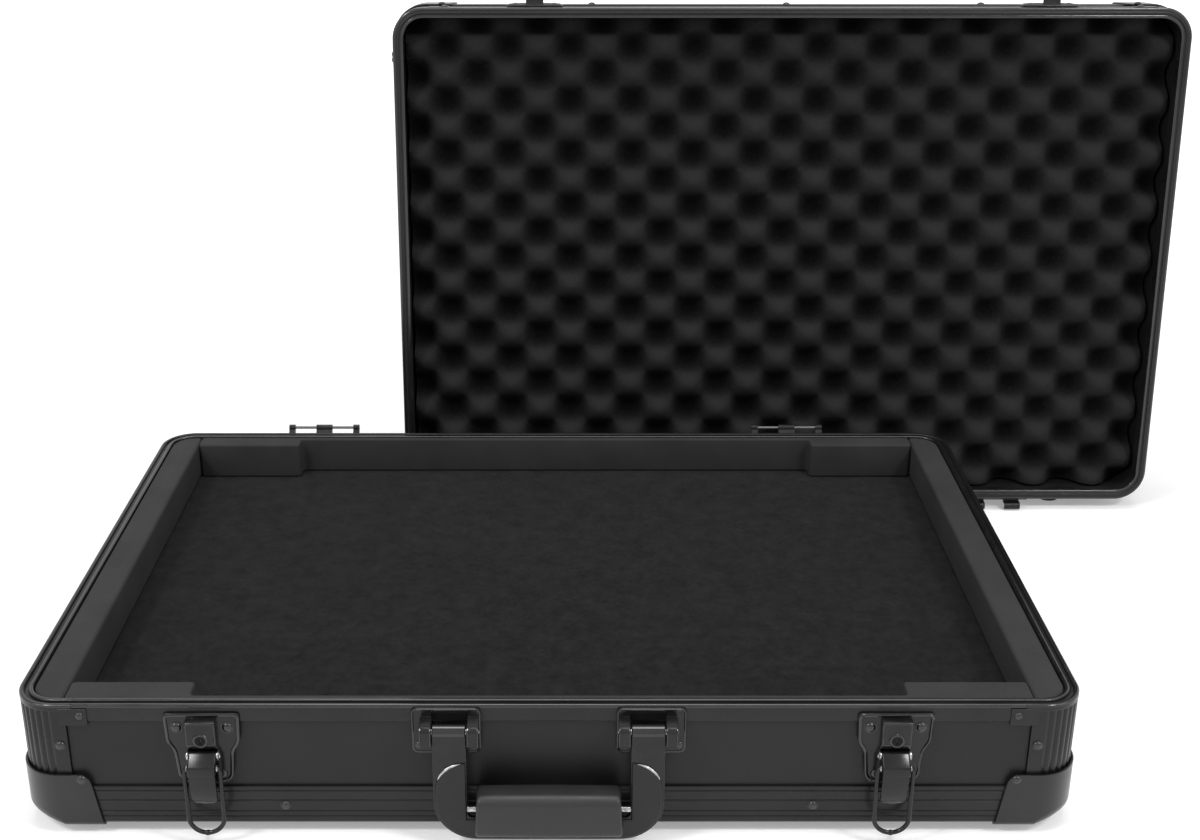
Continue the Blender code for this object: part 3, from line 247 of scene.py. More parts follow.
def finish(name, colour, specular, tones, gloss, relief=None, edges=None, metallic=0.0):
    """Tones and gloss are (pattern, low, high, start, end); relief is (pattern, height, strength)."""
    made = Finish(name, colour, specular, metallic)
    if edges:
        made.soft_edges(edges)
    if relief:
        made.raise_by(made.pattern(*relief[0]), *relief[1:])
    return made.done(made.tint(made.pattern(*tones[0]), *tones[1:]),
                     made.spread(made.pattern(*gloss[0]), *gloss[1:]))


def floor_felt():
    """Dense foam sheet with a felted, slightly fibrous skin."""
    made = Finish("black_felted_foam", (0.0105, 0.0105, 0.0108), 0.08)
    made.raise_by(made.pattern(0.0009, 4, 0.65), 0.00035, 0.8)
    feed(made.tree, made.shader, {"Sheen Weight": 0.02, "Sheen Roughness": 0.5})
    return made.done(made.tint(made.pattern(0.012, 5, 0.8), 0.6, 1.5), 0.95)


def crate_foam():
    """Open-cell egg-crate foam: a mesh of pores, with painted shade in its hollows and painted light on its
    peaks.
    """
    made = Finish("black_open_cell_foam", (0.014, 0.014, 0.0144), 0.1)
    pores = made.pattern(0.0016)
    made.raise_by(pores, 0.00045, 0.7)
    made.raise_by(made.pattern(0.0007, 3), 0.00015, 0.5)
    # height over the hollows, along the way that the open lid's peaks point, which sets the painted shade
    facing = LID.to_3x3() @ Vector((0, 0, -1))
    hollow = facing.dot(LID @ Vector((0, 0, LID_Z + CRATE_DROP + CRATE_WAVE)))
    height = node(made.tree, "ShaderNodeVectorMath", {0: made.place, 1: facing}, operation="DOT_PRODUCT")
    depth = made.spread(height.outputs["Value"], 0.0, 1.0, hollow, hollow + CRATE_WAVE)
    # pores plus height: dark in the hollows and pale on the peaks, as painted shade and painted light
    grain = math_node(made.tree, "MULTIPLY_ADD", pores, 0.25, depth)
    return made.done(made.tint(grain, 0.10, 1.35, 0.20, 0.85), 0.95)


# anodised extrusion: satin, with fine die lines and a few duller patches
ALUMINIUM = finish("black_anodised_aluminium", (0.009, 0.009, 0.0095), 0.27, ((0.05, 3), 0.8, 1.35),
                   ((0.05, 3), 0.24, 0.36), ((0.0006, 2), 0.00002, 0.5))
# plywood faced with laminate: a fine pebbled grain with a faint sheen
LAMINATE = finish("black_pebbled_laminate", (0.010, 0.010, 0.0105), 0.24, ((0.09, 3), 0.85, 1.25),
                  ((0.0011,), 0.52, 0.38, 0.1, 0.6), ((0.0011,), 0.00006, 0.55), edges=0.0004)
# pressed steel with paint: smooth, faintly uneven, with a soft gloss
STEEL = finish("black_painted_steel", (0.011, 0.011, 0.0115), 0.38, ((0.035, 3), 0.85, 1.2),
               ((0.035, 3), 0.22, 0.34), ((0.0022, 2), 0.00003, 0.35))
# cast and bent hardware in gloss black, a little brighter where hands rub it
HARDWARE = finish("gloss_black_hardware", (0.007, 0.007, 0.0075), 0.30, ((0.014, 4), 0.8, 1.5),
                  ((0.014, 4), 0.16, 0.3), ((0.0016, 2), 0.00002, 0.3), edges=0.00035)
# the same black on bends and beads, rubbed smooth, so that they catch the light
EDGE = finish("rubbed_black_edges", (0.008, 0.008, 0.0084), 0.56, ((0.012, 3), 0.7, 1.5),
              ((0.012, 3), 0.08, 0.16))
# dark nickel where pins and collars are worn bright, and the same pale nickel as a painted highlight along
# the handle's shoulders
NICKEL_AND_HIGHLIGHT = finish("worn_nickel_and_painted_highlight", (0.42, 0.42, 0.425), 0.5, ((0.002, 3), 0.5, 1.3),
                ((0.002, 3), 0.16, 0.3), metallic=1.0)
# turned metal of the lock cylinders, with fine lines round its face
LOCK_LINES = (0.0008, 3, 0.5, (1, 1, 6))
LOCK = finish("dark_lock_metal", (0.010, 0.010, 0.0104), 0.5, (LOCK_LINES, 0.7, 1.3),
              (LOCK_LINES, 0.2, 0.4), (LOCK_LINES, 0.00001, 0.4), edges=0.0002, metallic=0.9)
# drawn steel of the hinge pins and screws, with lines along it
PIN_LINES = (0.0007, 3, 0.5, (8, 1, 1))
PIN = finish("dark_steel_pin", (0.16, 0.16, 0.165), 0.5, (PIN_LINES, 0.7, 1.2), (PIN_LINES, 0.22, 0.4),
             metallic=1.0)
# closed-cell foam of the bolsters and blocks: a paler, finer skin with small pores
BLOCK = finish("dark_closed_cell_foam", (0.028, 0.028, 0.0284), 0.14, ((0.04, 3), 0.88, 1.15),
               ((0.0012,), 0.86, 0.72, 0.1, 0.6), ((0.0012,), 0.00010, 0.5))
# moulded rubber: matt, with a fine even grain
RUBBER = finish("black_foot_rubber", (0.011, 0.011, 0.0112), 0.4, ((0.0012, 3), 0.8, 1.2),
                ((0.0012, 3), 0.55, 0.72), ((0.0012, 3), 0.00006, 0.5))
# moulded grip with a fine leather grain that is rubbed smoother in its middle
GRIP = finish("black_grained_grip", (0.017, 0.017, 0.0175), 0.36, ((0.0009,), 0.9, 1.1),
              ((0.02, 2), 0.36, 0.48), ((0.0009,), 0.00005, 0.5))
FELT = floor_felt()
CRATE = crate_foam()


# Shapes as lists of points and faces


def arc(centre, radius, start, end, steps):
    angles = [radians(start + (end - start) * i / steps) for i in range(steps + 1)]
    return [(centre[0] + radius * cos(a), centre[1] + radius * sin(a)) for a in angles]


def rounded(points, radius, steps=3):
    """A closed outline with its corners rounded, as far as its edges have room."""
    result = []
    for i, point in enumerate(points):
        here = Vector(point)
        before, after = Vector(points[i - 1]) - here, Vector(points[(i + 1) % len(points)]) - here
        reach = min(radius, 0.45 * before.length, 0.45 * after.length)
        first, last = here + before.normalized() * reach, here + after.normalized() * reach
        for k in range(steps + 1):
            t = k / steps
            result.append(tuple(first * (1 - t) ** 2 + here * 2 * t * (1 - t) + last * t * t))
    return result


def round_rectangle(left, right, low, high, radius, steps=6):
    radii = radius if isinstance(radius, tuple) else (radius,) * 4
    corners = ((left, low, 1, 1), (right, low, -1, 1), (right, high, -1, -1), (left, high, 1, -1))
    points = []
    for turn, ((x, y, sx, sy), r) in enumerate(zip(corners, radii)):
        start = 180 + 90 * turn
        points += arc((x + sx * r, y + sy * r), r, start, start + 90, steps) if r else [(x, y)]
    return points


def inset(outline, distance):
    """The outline moved inwards; outlines run anticlockwise."""
    result = []
    for i, point in enumerate(outline):
        here = Vector(point)
        along = (here - Vector(outline[i - 1])).normalized()
        onward = (Vector(outline[(i + 1) % len(outline)]) - here).normalized()
        first, second = Vector((-along.y, along.x)), Vector((-onward.y, onward.x))
        share = max(1 + first.dot(second), 0.3)
        result.append(tuple(here + (first + second) * distance / share))
    return result


def area(outline):
    return sum(a[0] * b[1] - b[0] * a[1] for a, b in zip(outline, outline[1:] + outline[:1])) / 2


def loft(rings, closed=False, caps=True):
    """Faces between rings of equal count; closed joins the last ring to the first."""
    count = len(rings[0])
    points = [tuple(point) for ring in rings for point in ring]
    faces = []
    pairs = len(rings) if closed else len(rings) - 1
    for r in range(pairs):
        here, there = r * count, (r + 1) % len(rings) * count
        for i in range(count):
            k = (i + 1) % count
            faces.append((here + i, here + k, there + k, there + i))
    if caps and not closed:
        faces.append(tuple(range(count))[::-1])
        faces.append(tuple(range((len(rings) - 1) * count, len(rings) * count)))
    return points, faces


def moved(shape, matrix):
    return [tuple(matrix @ Vector(point)) for point in shape[0]], shape[1]


def edge_steps(edge, steps):
    """Pairs of inset and depth for a rounded edge, from its face to its side."""
    return [(edge * (1 - sin(pi / 2 * k / steps)), edge * (1 - cos(pi / 2 * k / steps)))
            for k in range(steps + 1)]


def edge_rings(outline, low, high, edge, steps, sign=1):
    """Rings up the side of a slab, drawn in at its rounded edges."""
    levels = [(narrow, low + depth) for narrow, depth in edge_steps(edge, steps)]
    levels += [(narrow, high - depth) for narrow, depth in reversed(edge_steps(edge, steps))]
    return [[(x, y, z) for x, y in inset(outline, sign * narrow)] for narrow, z in levels]


def slab(outline, low, high, edge, view=ON_PLAN, steps=2):
    """An outline thickened from low to high with rounded edges."""
    outline = outline if area(outline) > 0 else outline[::-1]
    return moved(loft(edge_rings(outline, low, high, edge, steps)), view)


def wall_plate(outline):
    """A plate of sheet metal on the front wall, drawn in (x, z)."""
    return slab(rounded(outline, PLATE_CORNER, 5), -PLATE_BACK, -PLATE_BACK + PLATE, 0.0005, ON_FRONT_VIEW)


def framed_slab(outer, inner, low, high, edge, view=ON_PLAN, steps=2):
    """A slab with a window; both outlines have the same number of points."""
    rings = edge_rings(outer, low, high, edge, steps)
    rings += edge_rings(inner, low, high, edge, steps, -1)[::-1]
    return moved(loft(rings, closed=True), view)


def sweep(section, path, closed=False):
    """A closed section of (inset, height) carried along points with their inward directions."""
    rings = [[(x + inward[0] * i, y + inward[1] * i, h) for i, h in section] for (x, y), inward in path]
    return loft(rings, closed)


def lathe(profile, steps, place):
    """Turns (radius, height) points about Z; ends on the axis are closed."""
    turns = [(cos(2 * pi * i / steps), sin(2 * pi * i / steps)) for i in range(steps)]
    return moved(loft([[(r * c, r * s, h) for c, s in turns] for r, h in profile], caps=False), place)


def rod(start, end, radius, sides=16, edge=0.0003):
    axis = Vector(end) - Vector(start)
    place = Matrix.Translation(start) @ axis.to_track_quat("Z", "Y").to_matrix().to_4x4()
    edge = min(edge, radius / 2)
    profile = [(0, 0), (radius - edge, 0), (radius, edge), (radius, axis.length - edge),
               (radius - edge, axis.length), (0, axis.length)]
    return lathe(profile, sides, place)


def tube(points, radius, sides=10, closed=False):
    """A round wire or bead along points; radius may change along it."""
    path = [Vector(point) for point in points]
    radii = radius if isinstance(radius, list) else [radius] * len(path)
    rings, side = [], None
    for i, (here, size) in enumerate(zip(path, radii)):
        after = path[(i + 1) % len(path)] if closed or i < len(path) - 1 else here
        before = path[i - 1] if closed or i else here
        along = (after - before).normalized()
        if side is None:
            side = along.orthogonal().normalized()
        side = (side - along * side.dot(along)).normalized()
        other = along.cross(side)
        rings.append([here + (side * cos(2 * pi * k / sides) + other * sin(2 * pi * k / sides)) * size
                      for k in range(sides)])
    return loft(rings, closed)


def torus(centre, axis, radius, thickness):
    place = Matrix.Translation(centre) @ Vector(axis).to_track_quat("Z", "Y").to_matrix().to_4x4()
    circle = arc((0, 0), radius, 0, 360, 28)[:-1]
    return tube([place @ Vector((x, y, 0)) for x, y in circle], thickness, 10, True)


def file_piece(obj, body, nodes=()):
    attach(obj, body)
    if nodes:
        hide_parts(*nodes)
    return obj


def shown(name, mesh):
    obj = bpy.data.objects.new(name, mesh)
    bpy.context.scene.collection.objects.link(obj)
    return obj


def opened(mesh):
    edit = bmesh.new()
    edit.from_mesh(mesh)
    return edit


def weld(edit, merge=0.000002):
    """Merges doubles and turns faces outwards."""
    bmesh.ops.remove_doubles(edit, verts=edit.verts, dist=merge)
    bmesh.ops.recalc_face_normals(edit, faces=edit.faces)


def saved(edit, mesh):
    edit.to_mesh(mesh)
    edit.free()
    return mesh


def smooth(mesh, angle):
    mesh.shade_smooth()
    mesh.set_sharp_from_angle(angle=radians(angle))


def plain_mesh(obj):
    """The evaluated object as a plain mesh; the object and its modifiers are removed."""
    bpy.context.view_layer.update()
    mesh = bpy.data.meshes.new_from_object(obj.evaluated_get(bpy.context.evaluated_depsgraph_get()))
    bpy.data.objects.remove(obj, do_unlink=True)
    return mesh


def piece(name, shapes, coat, body, nodes=(), place=None, angle=32):
    """One object of closed shapes, smooth across their gentle bends."""
    points, faces = [], []
    for shape_points, shape_faces in shapes:
        start = len(points)
        points += shape_points
        faces += [tuple(start + i for i in face) for face in shape_faces]
    mesh = bpy.data.meshes.new(name)
    mesh.from_pydata(points, [], faces)
    edit = opened(mesh)
    weld(edit)
    saved(edit, mesh)
    if place is not None:
        mesh.transform(place)
    smooth(mesh, angle)
    mesh.materials.append(coat)
    return file_piece(shown(name, mesh), body, nodes)


# Paths round the case, as points of the outer line with their inward directions


def straight(start, end):
    return [((end, 0), (0, 1)), ((start, 0), (0, 1))]


def round_corner(length):
    path = [((length, 0), (0, 1))]
    for i in range(CORNER_STEPS + 1):
        angle = radians(270 - 90 * i / CORNER_STEPS)
        x, y = cos(angle), sin(angle)
        path.append(((CORNER_RADIUS + CORNER_RADIUS * x, CORNER_RADIUS + CORNER_RADIUS * y), (-x, -y)))
    return path + [((0, length), (1, 0))]


def whole_outline():
    path = []
    for number in range(4):
        turn = corner_place(number)
        for (x, y), (nx, ny) in reversed(round_corner(CORNER_RADIUS)[1:-1]):
            point = turn @ Vector((x, y, 0))
            inward = turn.to_3x3() @ Vector((nx, ny, 0))
            path.append(((point.x, point.y), (inward.x, inward.y)))
    return path


def rim_section(face=0.0, depth=RIM_DEPTH):
    """Two rounded beads with a channel between them, over the board's edge."""
    start, end, cut = GROOVE
    shape = [(face, 0), (start, 0), (start, cut), (end, cut), (end, 0), (RIM_WIDTH, 0),
             (RIM_WIDTH, RIM_INNER_DEPTH), (LINER, RIM_INNER_DEPTH), (LINER, CROWN)]
    if face:
        shape.append((face, CROWN))
    else:
        shape = [(0, depth)] + shape + [(PROFILE, CROWN), (PROFILE, depth)]
    return [(i, RIM_Z - h) for i, h in rounded(shape, RIM_ROUND, 4)]


def reeded_column(face, inner):
    """Plan of a corner post; its outer arc is pressed into upright reeds."""
    outer = CORNER_RADIUS - face
    centre = (CORNER_RADIUS, CORNER_RADIUS)
    points = [(POST_SIDE, face)]
    steps = REEDS * 8
    for step in range(steps + 1):
        angle = radians(270 - 90 * step / steps)
        wave = (1 - cos(2 * pi * REEDS * step / steps)) / 2
        radius = outer - REED_DEPTH * wave ** 2
        points.append((centre[0] + radius * cos(angle), centre[1] + radius * sin(angle)))
    points += [(face, POST_SIDE), (inner, POST_SIDE)]
    return points + arc(centre, CORNER_RADIUS - inner, 180, 270, 8) + [(POST_SIDE, inner)]


def base_rims():
    tab, start = POST_TAB + FIT, POST_TOP + FIT
    full, narrow = rim_section(), rim_section(BOARD_FACE)
    for number, (side, length) in enumerate(SIDES):
        shapes = [sweep(full, straight(tab, length - tab)), sweep(narrow, straight(start, tab + FIT)),
                  sweep(narrow, straight(length - tab - FIT, length - start))]
        piece(f"rim_rail_{side}", shapes, ALUMINIUM, "base", (f"base_rim_{side}",),
              corner_place(number))


def bead(path, level, direction, closed=False):
    """The round outer bead and the flat inner band that edge a rim, a little proud of it."""
    round_bead = tube([(x + nx * 0.0014, y + ny * 0.0014, level + direction * 0.00125)
                       for (x, y), (nx, ny) in path], 0.00145, 12, closed)
    start, high, low = 0.0058, -0.0002, 0.0022
    band = rounded([(start, low), (start, high), (RIM_WIDTH, high), (RIM_WIDTH, low)], 0.0010, 4)
    return [round_bead, sweep([(i, level + direction * h) for i, h in band], path, closed)]


def tab_plates(level, direction):
    """The post's flat tabs that lap over the rim rails on both walls."""
    high, low = level + direction * 0.0026, level + direction * POST_TAB_DEPTH
    tab = rounded([(-0.0003, low), (-0.0003, high), (0.0012, high), (0.0012, low)], 0.0004, 3)
    first = 0.029
    other_wall = [((0, first), (1, 0)), ((0, POST_TAB), (1, 0))]
    return [sweep(tab, straight(first, POST_TAB)), sweep(tab, other_wall)]


def base_beads():
    shapes = []
    for number, (_side, length) in enumerate(SIDES):
        end = POST_TOP + FIT
        for path in (round_corner(POST_TOP), straight(end, length - end)):
            shapes += [moved(shape, corner_place(number)) for shape in bead(path, RIM_Z, -1)]
    piece("rim_beads", shapes, EDGE, "base")


def corner_posts():
    crown = sweep(rim_section(depth=CROWN + 0.001), round_corner(POST_TOP))
    column = slab(reeded_column(0.0002, BOARD_BACK), POST_FOOT, RIM_Z - CROWN / 2, 0.0003)
    shapes = [crown, column] + tab_plates(RIM_Z, -1)
    for number, (corner, _x, _y) in enumerate(CORNERS):
        piece(f"corner_post_{corner}", shapes, ALUMINIUM, "base",
              (f"base_corner_post_{corner}",), corner_place(number))


def rail_section(height):
    """Edge rail with four fine lines on its face and a rounded bottom edge."""
    low, top = UNDERSIDE, UNDERSIDE + height
    points = [(RAIL_LEG, low + PROFILE), (RAIL_LEG, low)]
    points += arc((0.003, low + 0.003), 0.003, 270, 180, 6)
    for share in (0.90, 0.74, 0.42, 0.14):
        middle = top - share * (height - 0.003)
        points += [(0, middle - 0.0007), (0.0003, middle - 0.0004), (0.0005, middle),
                   (0.0003, middle + 0.0004), (0, middle + 0.0007)]
    points += [(0, top - 0.0005), (0.00015, top - 0.00015), (0.0005, top), (PROFILE, top),
               (PROFILE, low + PROFILE)]
    return points


def base_rails():
    for number, (side, length) in enumerate(SIDES):
        shape = sweep(rail_section(BASE_RAIL), straight(RAIL_START, length - RAIL_START))
        piece(f"edge_rail_{side}", [shape], ALUMINIUM, "base", (f"base_edge_rail_{side}",),
              corner_place(number))


def cap_grid(low, tall, gap):
    """Outer skin of a ball corner: walls, a full round below, and rounded side ends."""
    top = low + tall
    edge_rows, top_rows = 12, 6
    columns = [(2, 0.0)] + [(1, 0.033 - 0.004 * k) for k in range(3)]
    columns += [(0, step) for step in range(CORNER_STEPS + 1)]
    columns += [(-1, 0.025 + 0.004 * k) for k in range(3)] + [(-2, 0.0)]
    rows = [("wall", 0.006 * (1 - cos(pi / 2 * k / top_rows)), 0.006 * (1 - sin(pi / 2 * k / top_rows)))
            for k in range(top_rows + 1)]
    rows += [("edge", k / edge_rows, 0) for k in range(edge_rows + 1)] + [("under", 0, 0.006)]
    points, faces = [], []
    for kind, value, reach in rows:
        for side, step in columns:
            distance = step
            bulge = 0 if side else sin(pi * step / CORNER_STEPS) ** 0.8
            radius = 0.0035 + gap + 0.0078 * bulge
            inward, height = 0, top - value
            if kind == "edge":
                inward = radius * (1 - cos(value * pi / 2))
                height = low + radius * (1 - sin(value * pi / 2))
            elif kind == "under":
                inward, height = RAIL_LEG + gap, low
            if abs(side) == 2:
                fall = (top - height) / tall
                distance = CAP_TOP_LENGTH + (CAP_FOOT_LENGTH - CAP_TOP_LENGTH) * fall - reach
            if side > 0:
                points.append((distance, inward - gap, height))
            elif side < 0:
                points.append((inward - gap, distance, height))
            else:
                angle = radians(270 - 90 * step / CORNER_STEPS)
                around = CORNER_RADIUS + gap - inward
                points.append((CORNER_RADIUS + around * cos(angle),
                               CORNER_RADIUS + around * sin(angle), height))
    count = len(columns)
    for r in range(len(rows) - 1):
        for i in range(count - 1):
            a = r * count + i
            faces.append((a, a + count, a + count + 1, a + 1))
    return points, faces


def thick_sheet(name, shape):
    """A skin given a wall towards its outside and rounded rims, as plain points and faces."""
    mesh = bpy.data.meshes.new(name)
    mesh.from_pydata(shape[0], [], shape[1])
    edit = opened(mesh)
    weld(edit)
    edit.faces.ensure_lookup_table()
    if edit.faces[0].normal.y > 0:
        bmesh.ops.reverse_faces(edit, faces=edit.faces)
    obj = shown(name, saved(edit, mesh))
    wall = obj.modifiers.new("wall", "SOLIDIFY")
    wall.thickness = PROFILE
    wall.offset = 1
    wall.use_even_offset = True
    soften = obj.modifiers.new("rims", "BEVEL")
    soften.width = CAP_EDGE
    soften.segments = 2
    soften.limit_method = "ANGLE"
    soften.angle_limit = radians(50)
    result = plain_mesh(obj)
    shape = ([tuple(v.co) for v in result.vertices], [tuple(p.vertices) for p in result.polygons])
    bpy.data.meshes.remove(result)
    return shape


def base_caps():
    shape = thick_sheet("corner_cap_skin", cap_grid(UNDERSIDE - FIT, BASE_CAP + FIT, FIT))
    for number, (corner, _x, _y) in enumerate(CORNERS):
        piece(f"ball_corner_{corner}", [shape], STEEL, "base", (f"base_corner_cap_{corner}",),
              corner_place(number), 40)


def lid_frame():
    tongue = [(0.0, RIM_DEPTH), (0.0, 0.0), (TONGUE[0], 0.0), (TONGUE[0], -TONGUE[2]),
              (TONGUE[1], -TONGUE[2]), (TONGUE[1], 0.0), (RIM_WIDTH, 0.0), (RIM_WIDTH, RIM_INNER_DEPTH),
              (LINER, RIM_INNER_DEPTH), (LINER, CROWN), (PROFILE, CROWN), (PROFILE, RIM_DEPTH)]
    section = [(i, LID_Z + h) for i, h in rounded(tongue, RIM_ROUND, 4)]
    shapes = [sweep(section, whole_outline(), True)]
    for number in range(4):
        low, high = LID_Z + CROWN / 2, LID_TOP - POST_FOOT
        skin = slab(reeded_column(2 * FIT, BOARD_FACE), low, high, 0.0003)
        shapes += [moved(shape, corner_place(number)) for shape in [skin] + tab_plates(LID_Z, 1)]
    piece("lid_rim", shapes, ALUMINIUM, "lid", ("lid_rim_frame",), LID)
    piece("lid_rim_beads", bead(whole_outline(), LID_Z, 1, True), EDGE, "lid", (), LID)


def lid_edges():
    flip = Matrix.Translation((0, 0, LID_TOP + UNDERSIDE)) @ Matrix.Rotation(pi, 4, Vector((1, 1, 0)))
    rails, caps = [], []
    section = [(i, LID_TOP + UNDERSIDE - h) for i, h in rail_section(LID_RAIL)]
    cap = moved(thick_sheet("lid_corner_skin", cap_grid(UNDERSIDE, LID_CAP, -0.0002)), flip)
    for number, (_side, length) in enumerate(SIDES):
        turn = corner_place(number)
        rails.append(moved(sweep(section, straight(RAIL_START, length - RAIL_START)), turn))
        caps.append(moved(cap, turn))
    piece("lid_edge_rails", rails, ALUMINIUM, "lid", ("lid_edge_frame",), LID)
    piece("lid_ball_corners", caps, STEEL, "lid", ("lid_edge_frame",), LID, 40)


# Rubber feet


FOOT_RADIUS, FOOT_HEIGHT, FOOT_INSET = 0.014, 0.0087, 0.060
WALL_FOOT_RADIUS, WALL_FOOT_REACH = 0.01025, 0.0075
# share of the radius, bevel taken off it, and height over the foot's end
FOOT = ((1, 0.0011, 0.0018), (1, 0.0016, 0.0007), (1, 0.0026, 0), (0.42, 0, 0), (0.38, 0, 0.0005),
        (0.36, 0, 0.0035), (0, 0, 0.0035))
SCREW = ((0, 0.0036), (0.33, 0.0034), (0.33, 0.0028), (0.24, 0.0026), (0.2, 0.0018), (0.1, 0.0014),
         (0, 0.0013))


def foot(name, radius, height, place, body, cad_node, screws, stood=None):
    """A foot with a bevelled end and a sunk screw."""
    points = [(radius * share - bevel, -height + up) for share, bevel, up in FOOT]
    shape = lathe([(0, 0), (radius, 0)] + points, 36, place)
    piece(name, [shape], RUBBER, body, (cad_node,), stood)
    screws.append(lathe([(radius * share, -height + up) for share, up in SCREW], 20, place))


def feet():
    turn = Matrix.Rotation(pi / 2, 4, "X")
    wall_depth = WALL_FOOT_REACH + BOARD_FACE
    wall_y = HALF_DEPTH - BOARD_FACE + FIT
    base_z = (UNDERSIDE + BASE_RAIL + RIM_Z - RIM_DEPTH) / 2
    lid_z = (LID_Z + RIM_DEPTH + LID_TOP - LID_RAIL) / 2
    screws, lid_screws = [], []
    for corner, x, y in CORNERS:
        place = Matrix.Translation((x * (HALF_WIDTH - FOOT_INSET), y * (HALF_DEPTH - FOOT_INSET), -FIT))
        foot(f"foot_{corner}", FOOT_RADIUS, FOOT_HEIGHT, place, "base", f"base_foot_{corner}", screws)
    for hand, side in HANDS:
        place = Matrix.Translation((side * WALL_FOOT_X, wall_y, base_z)) @ turn
        foot(f"rear_foot_{hand}", WALL_FOOT_RADIUS, wall_depth, place, "base", f"base_rear_foot_{hand}",
             screws)
        place = Matrix.Translation((side * WALL_FOOT_X, wall_y, lid_z)) @ turn
        foot(f"lid_rear_foot_{hand}", WALL_FOOT_RADIUS, wall_depth - FIT, place, "lid", f"lid_foot_{hand}",
             lid_screws, LID)
    piece("foot_screws", screws, PIN, "base")
    piece("lid_foot_screws", lid_screws, PIN, "lid", (), LID)


# Foam


def foam_pad(name, outline, low, high, edge, steps, coat, cad_node):
    pad = piece(name, [slab(outline, low, high, edge, steps=steps)], coat, "base", (cad_node,))


def foam_sheets():
    outline = round_rectangle(-HALF_WIDTH + LINER, HALF_WIDTH - LINER, -HALF_DEPTH + LINER,
                              HALF_DEPTH - LINER, CORNER_RADIUS - LINER)
    foam_pad("foam_floor", outline, 0.0053, FOAM_FLOOR, 0.0012, 3, FELT, "floor_foam")
    low, high = FOAM_FLOOR + FIT, RIM_Z - 0.0005
    edge_x, edge_y = HALF_WIDTH - FOAM_INSET, HALF_DEPTH - FOAM_INSET
    inner_x = HALF_WIDTH - BOLSTER
    soft, r = 0.003, CORNER_RADIUS - FOAM_INSET
    for hand, left, right, radii in (("left", -edge_x, -inner_x, (r, soft, soft, r)),
                                     ("right", inner_x, edge_x, (soft, r, r, soft))):
        outline = round_rectangle(left, right, -edge_y, edge_y, radii)
        foam_pad(f"foam_bolster_{hand}", outline, low, high, 0.0024, 4, BLOCK, f"side_bolster_{hand}")
    for name, side, length, reach, cad_node in (
            ("foam_front", -1, 0.075, 0.028, "front_foam_blocks"),
            ("foam_rear", 1, 0.082, 0.025, "rear_foam_blocks")):
        end = inner_x - FIT
        wall, lining, face = side * edge_y, side * (edge_y - LINING), side * (HALF_DEPTH - reach)
        outline = [(-end, wall), (end, wall), (end, face), (end - length, face), (end - length, lining),
                   (-end + length, lining), (-end + length, face), (-end, face)]
        foam_pad(name, rounded(outline[::-side], soft, 4), low, high, 0.0016, 4, BLOCK, cad_node)


def new_tree(name, sizes):
    """A Geometry Nodes tree with named inputs for its sizes; gives it, them and their identifiers."""
    tree = bpy.data.node_groups.new(name, "GeometryNodeTree")
    for way in ("INPUT", "OUTPUT"):
        tree.interface.new_socket(name="Geometry", in_out=way, socket_type="NodeSocketGeometry")
    names = {}
    for label, value in sizes.items():
        kind = "NodeSocketInt" if isinstance(value, int) else "NodeSocketFloat"
        made = tree.interface.new_socket(name=label, in_out="INPUT", socket_type=kind)
        made.default_value = value
        names[label] = made.identifier
    return tree, node(tree, "NodeGroupInput").outputs, names


def close_tree(tree, geometry, coat):
    real = node(tree, "GeometryNodeRealizeInstances", {"Geometry": geometry})
    painted = node(tree, "GeometryNodeSetMaterial", {"Geometry": real.outputs[0], "Material": coat})
    node(tree, "NodeGroupOutput", {0: painted.outputs[0]})


def grown(name, mesh, tree, names, sizes):
    """Runs a tree on a mesh and gives the result as a plain object."""
    seed = shown(f"{name}_seed", mesh)
    grow = seed.modifiers.new("grow", "NODES")
    grow.node_group = tree
    for label, value in sizes.items():
        grow[names[label]] = value
    return shown(name, plain_mesh(seed))


def crate_tree(sizes):
    """Egg-crate sheet: a grid raised into staggered peaks by two crossed waves."""
    tree, given, names = new_tree("egg_crate_sheet", sizes)
    grid = node(tree, "GeometryNodeMeshGrid", {"Size X": given["Width"], "Size Y": given["Depth"],
                                               "Vertices X": given["Columns"],
                                               "Vertices Y": given["Rows"]})
    point = node(tree, "GeometryNodeInputPosition").outputs[0]
    place = node(tree, "ShaderNodeSeparateXYZ", {"Vector": point})
    waves = []
    for axis in "XY":
        share = math_node(tree, "DIVIDE", place.outputs[axis], given[f"Pitch {axis}"])
        waves.append(math_node(tree, "COSINE", math_node(tree, "MULTIPLY", share, 2 * pi)))
    crossed = math_node(tree, "MULTIPLY", *waves)
    bent = math_node(tree, "POWER", math_node(tree, "ABSOLUTE", crossed), given["Sharpness"])
    signed = math_node(tree, "MULTIPLY", bent, math_node(tree, "SIGN", crossed))
    share = node(tree, "ShaderNodeMapRange", {"Value": signed, "From Min": 1.0, "From Max": -1.0,
                                              "To Min": 0.0, "To Max": 1.0}).outputs[0]
    lift = node(tree, "ShaderNodeCombineXYZ", {"Z": math_node(tree, "MULTIPLY", share, given["Wave"])})
    raised = node(tree, "GeometryNodeSetPosition", {"Geometry": grid.outputs["Mesh"],
                                                    "Offset": lift.outputs[0]})
    close_tree(tree, raised.outputs[0], CRATE)
    return tree, names


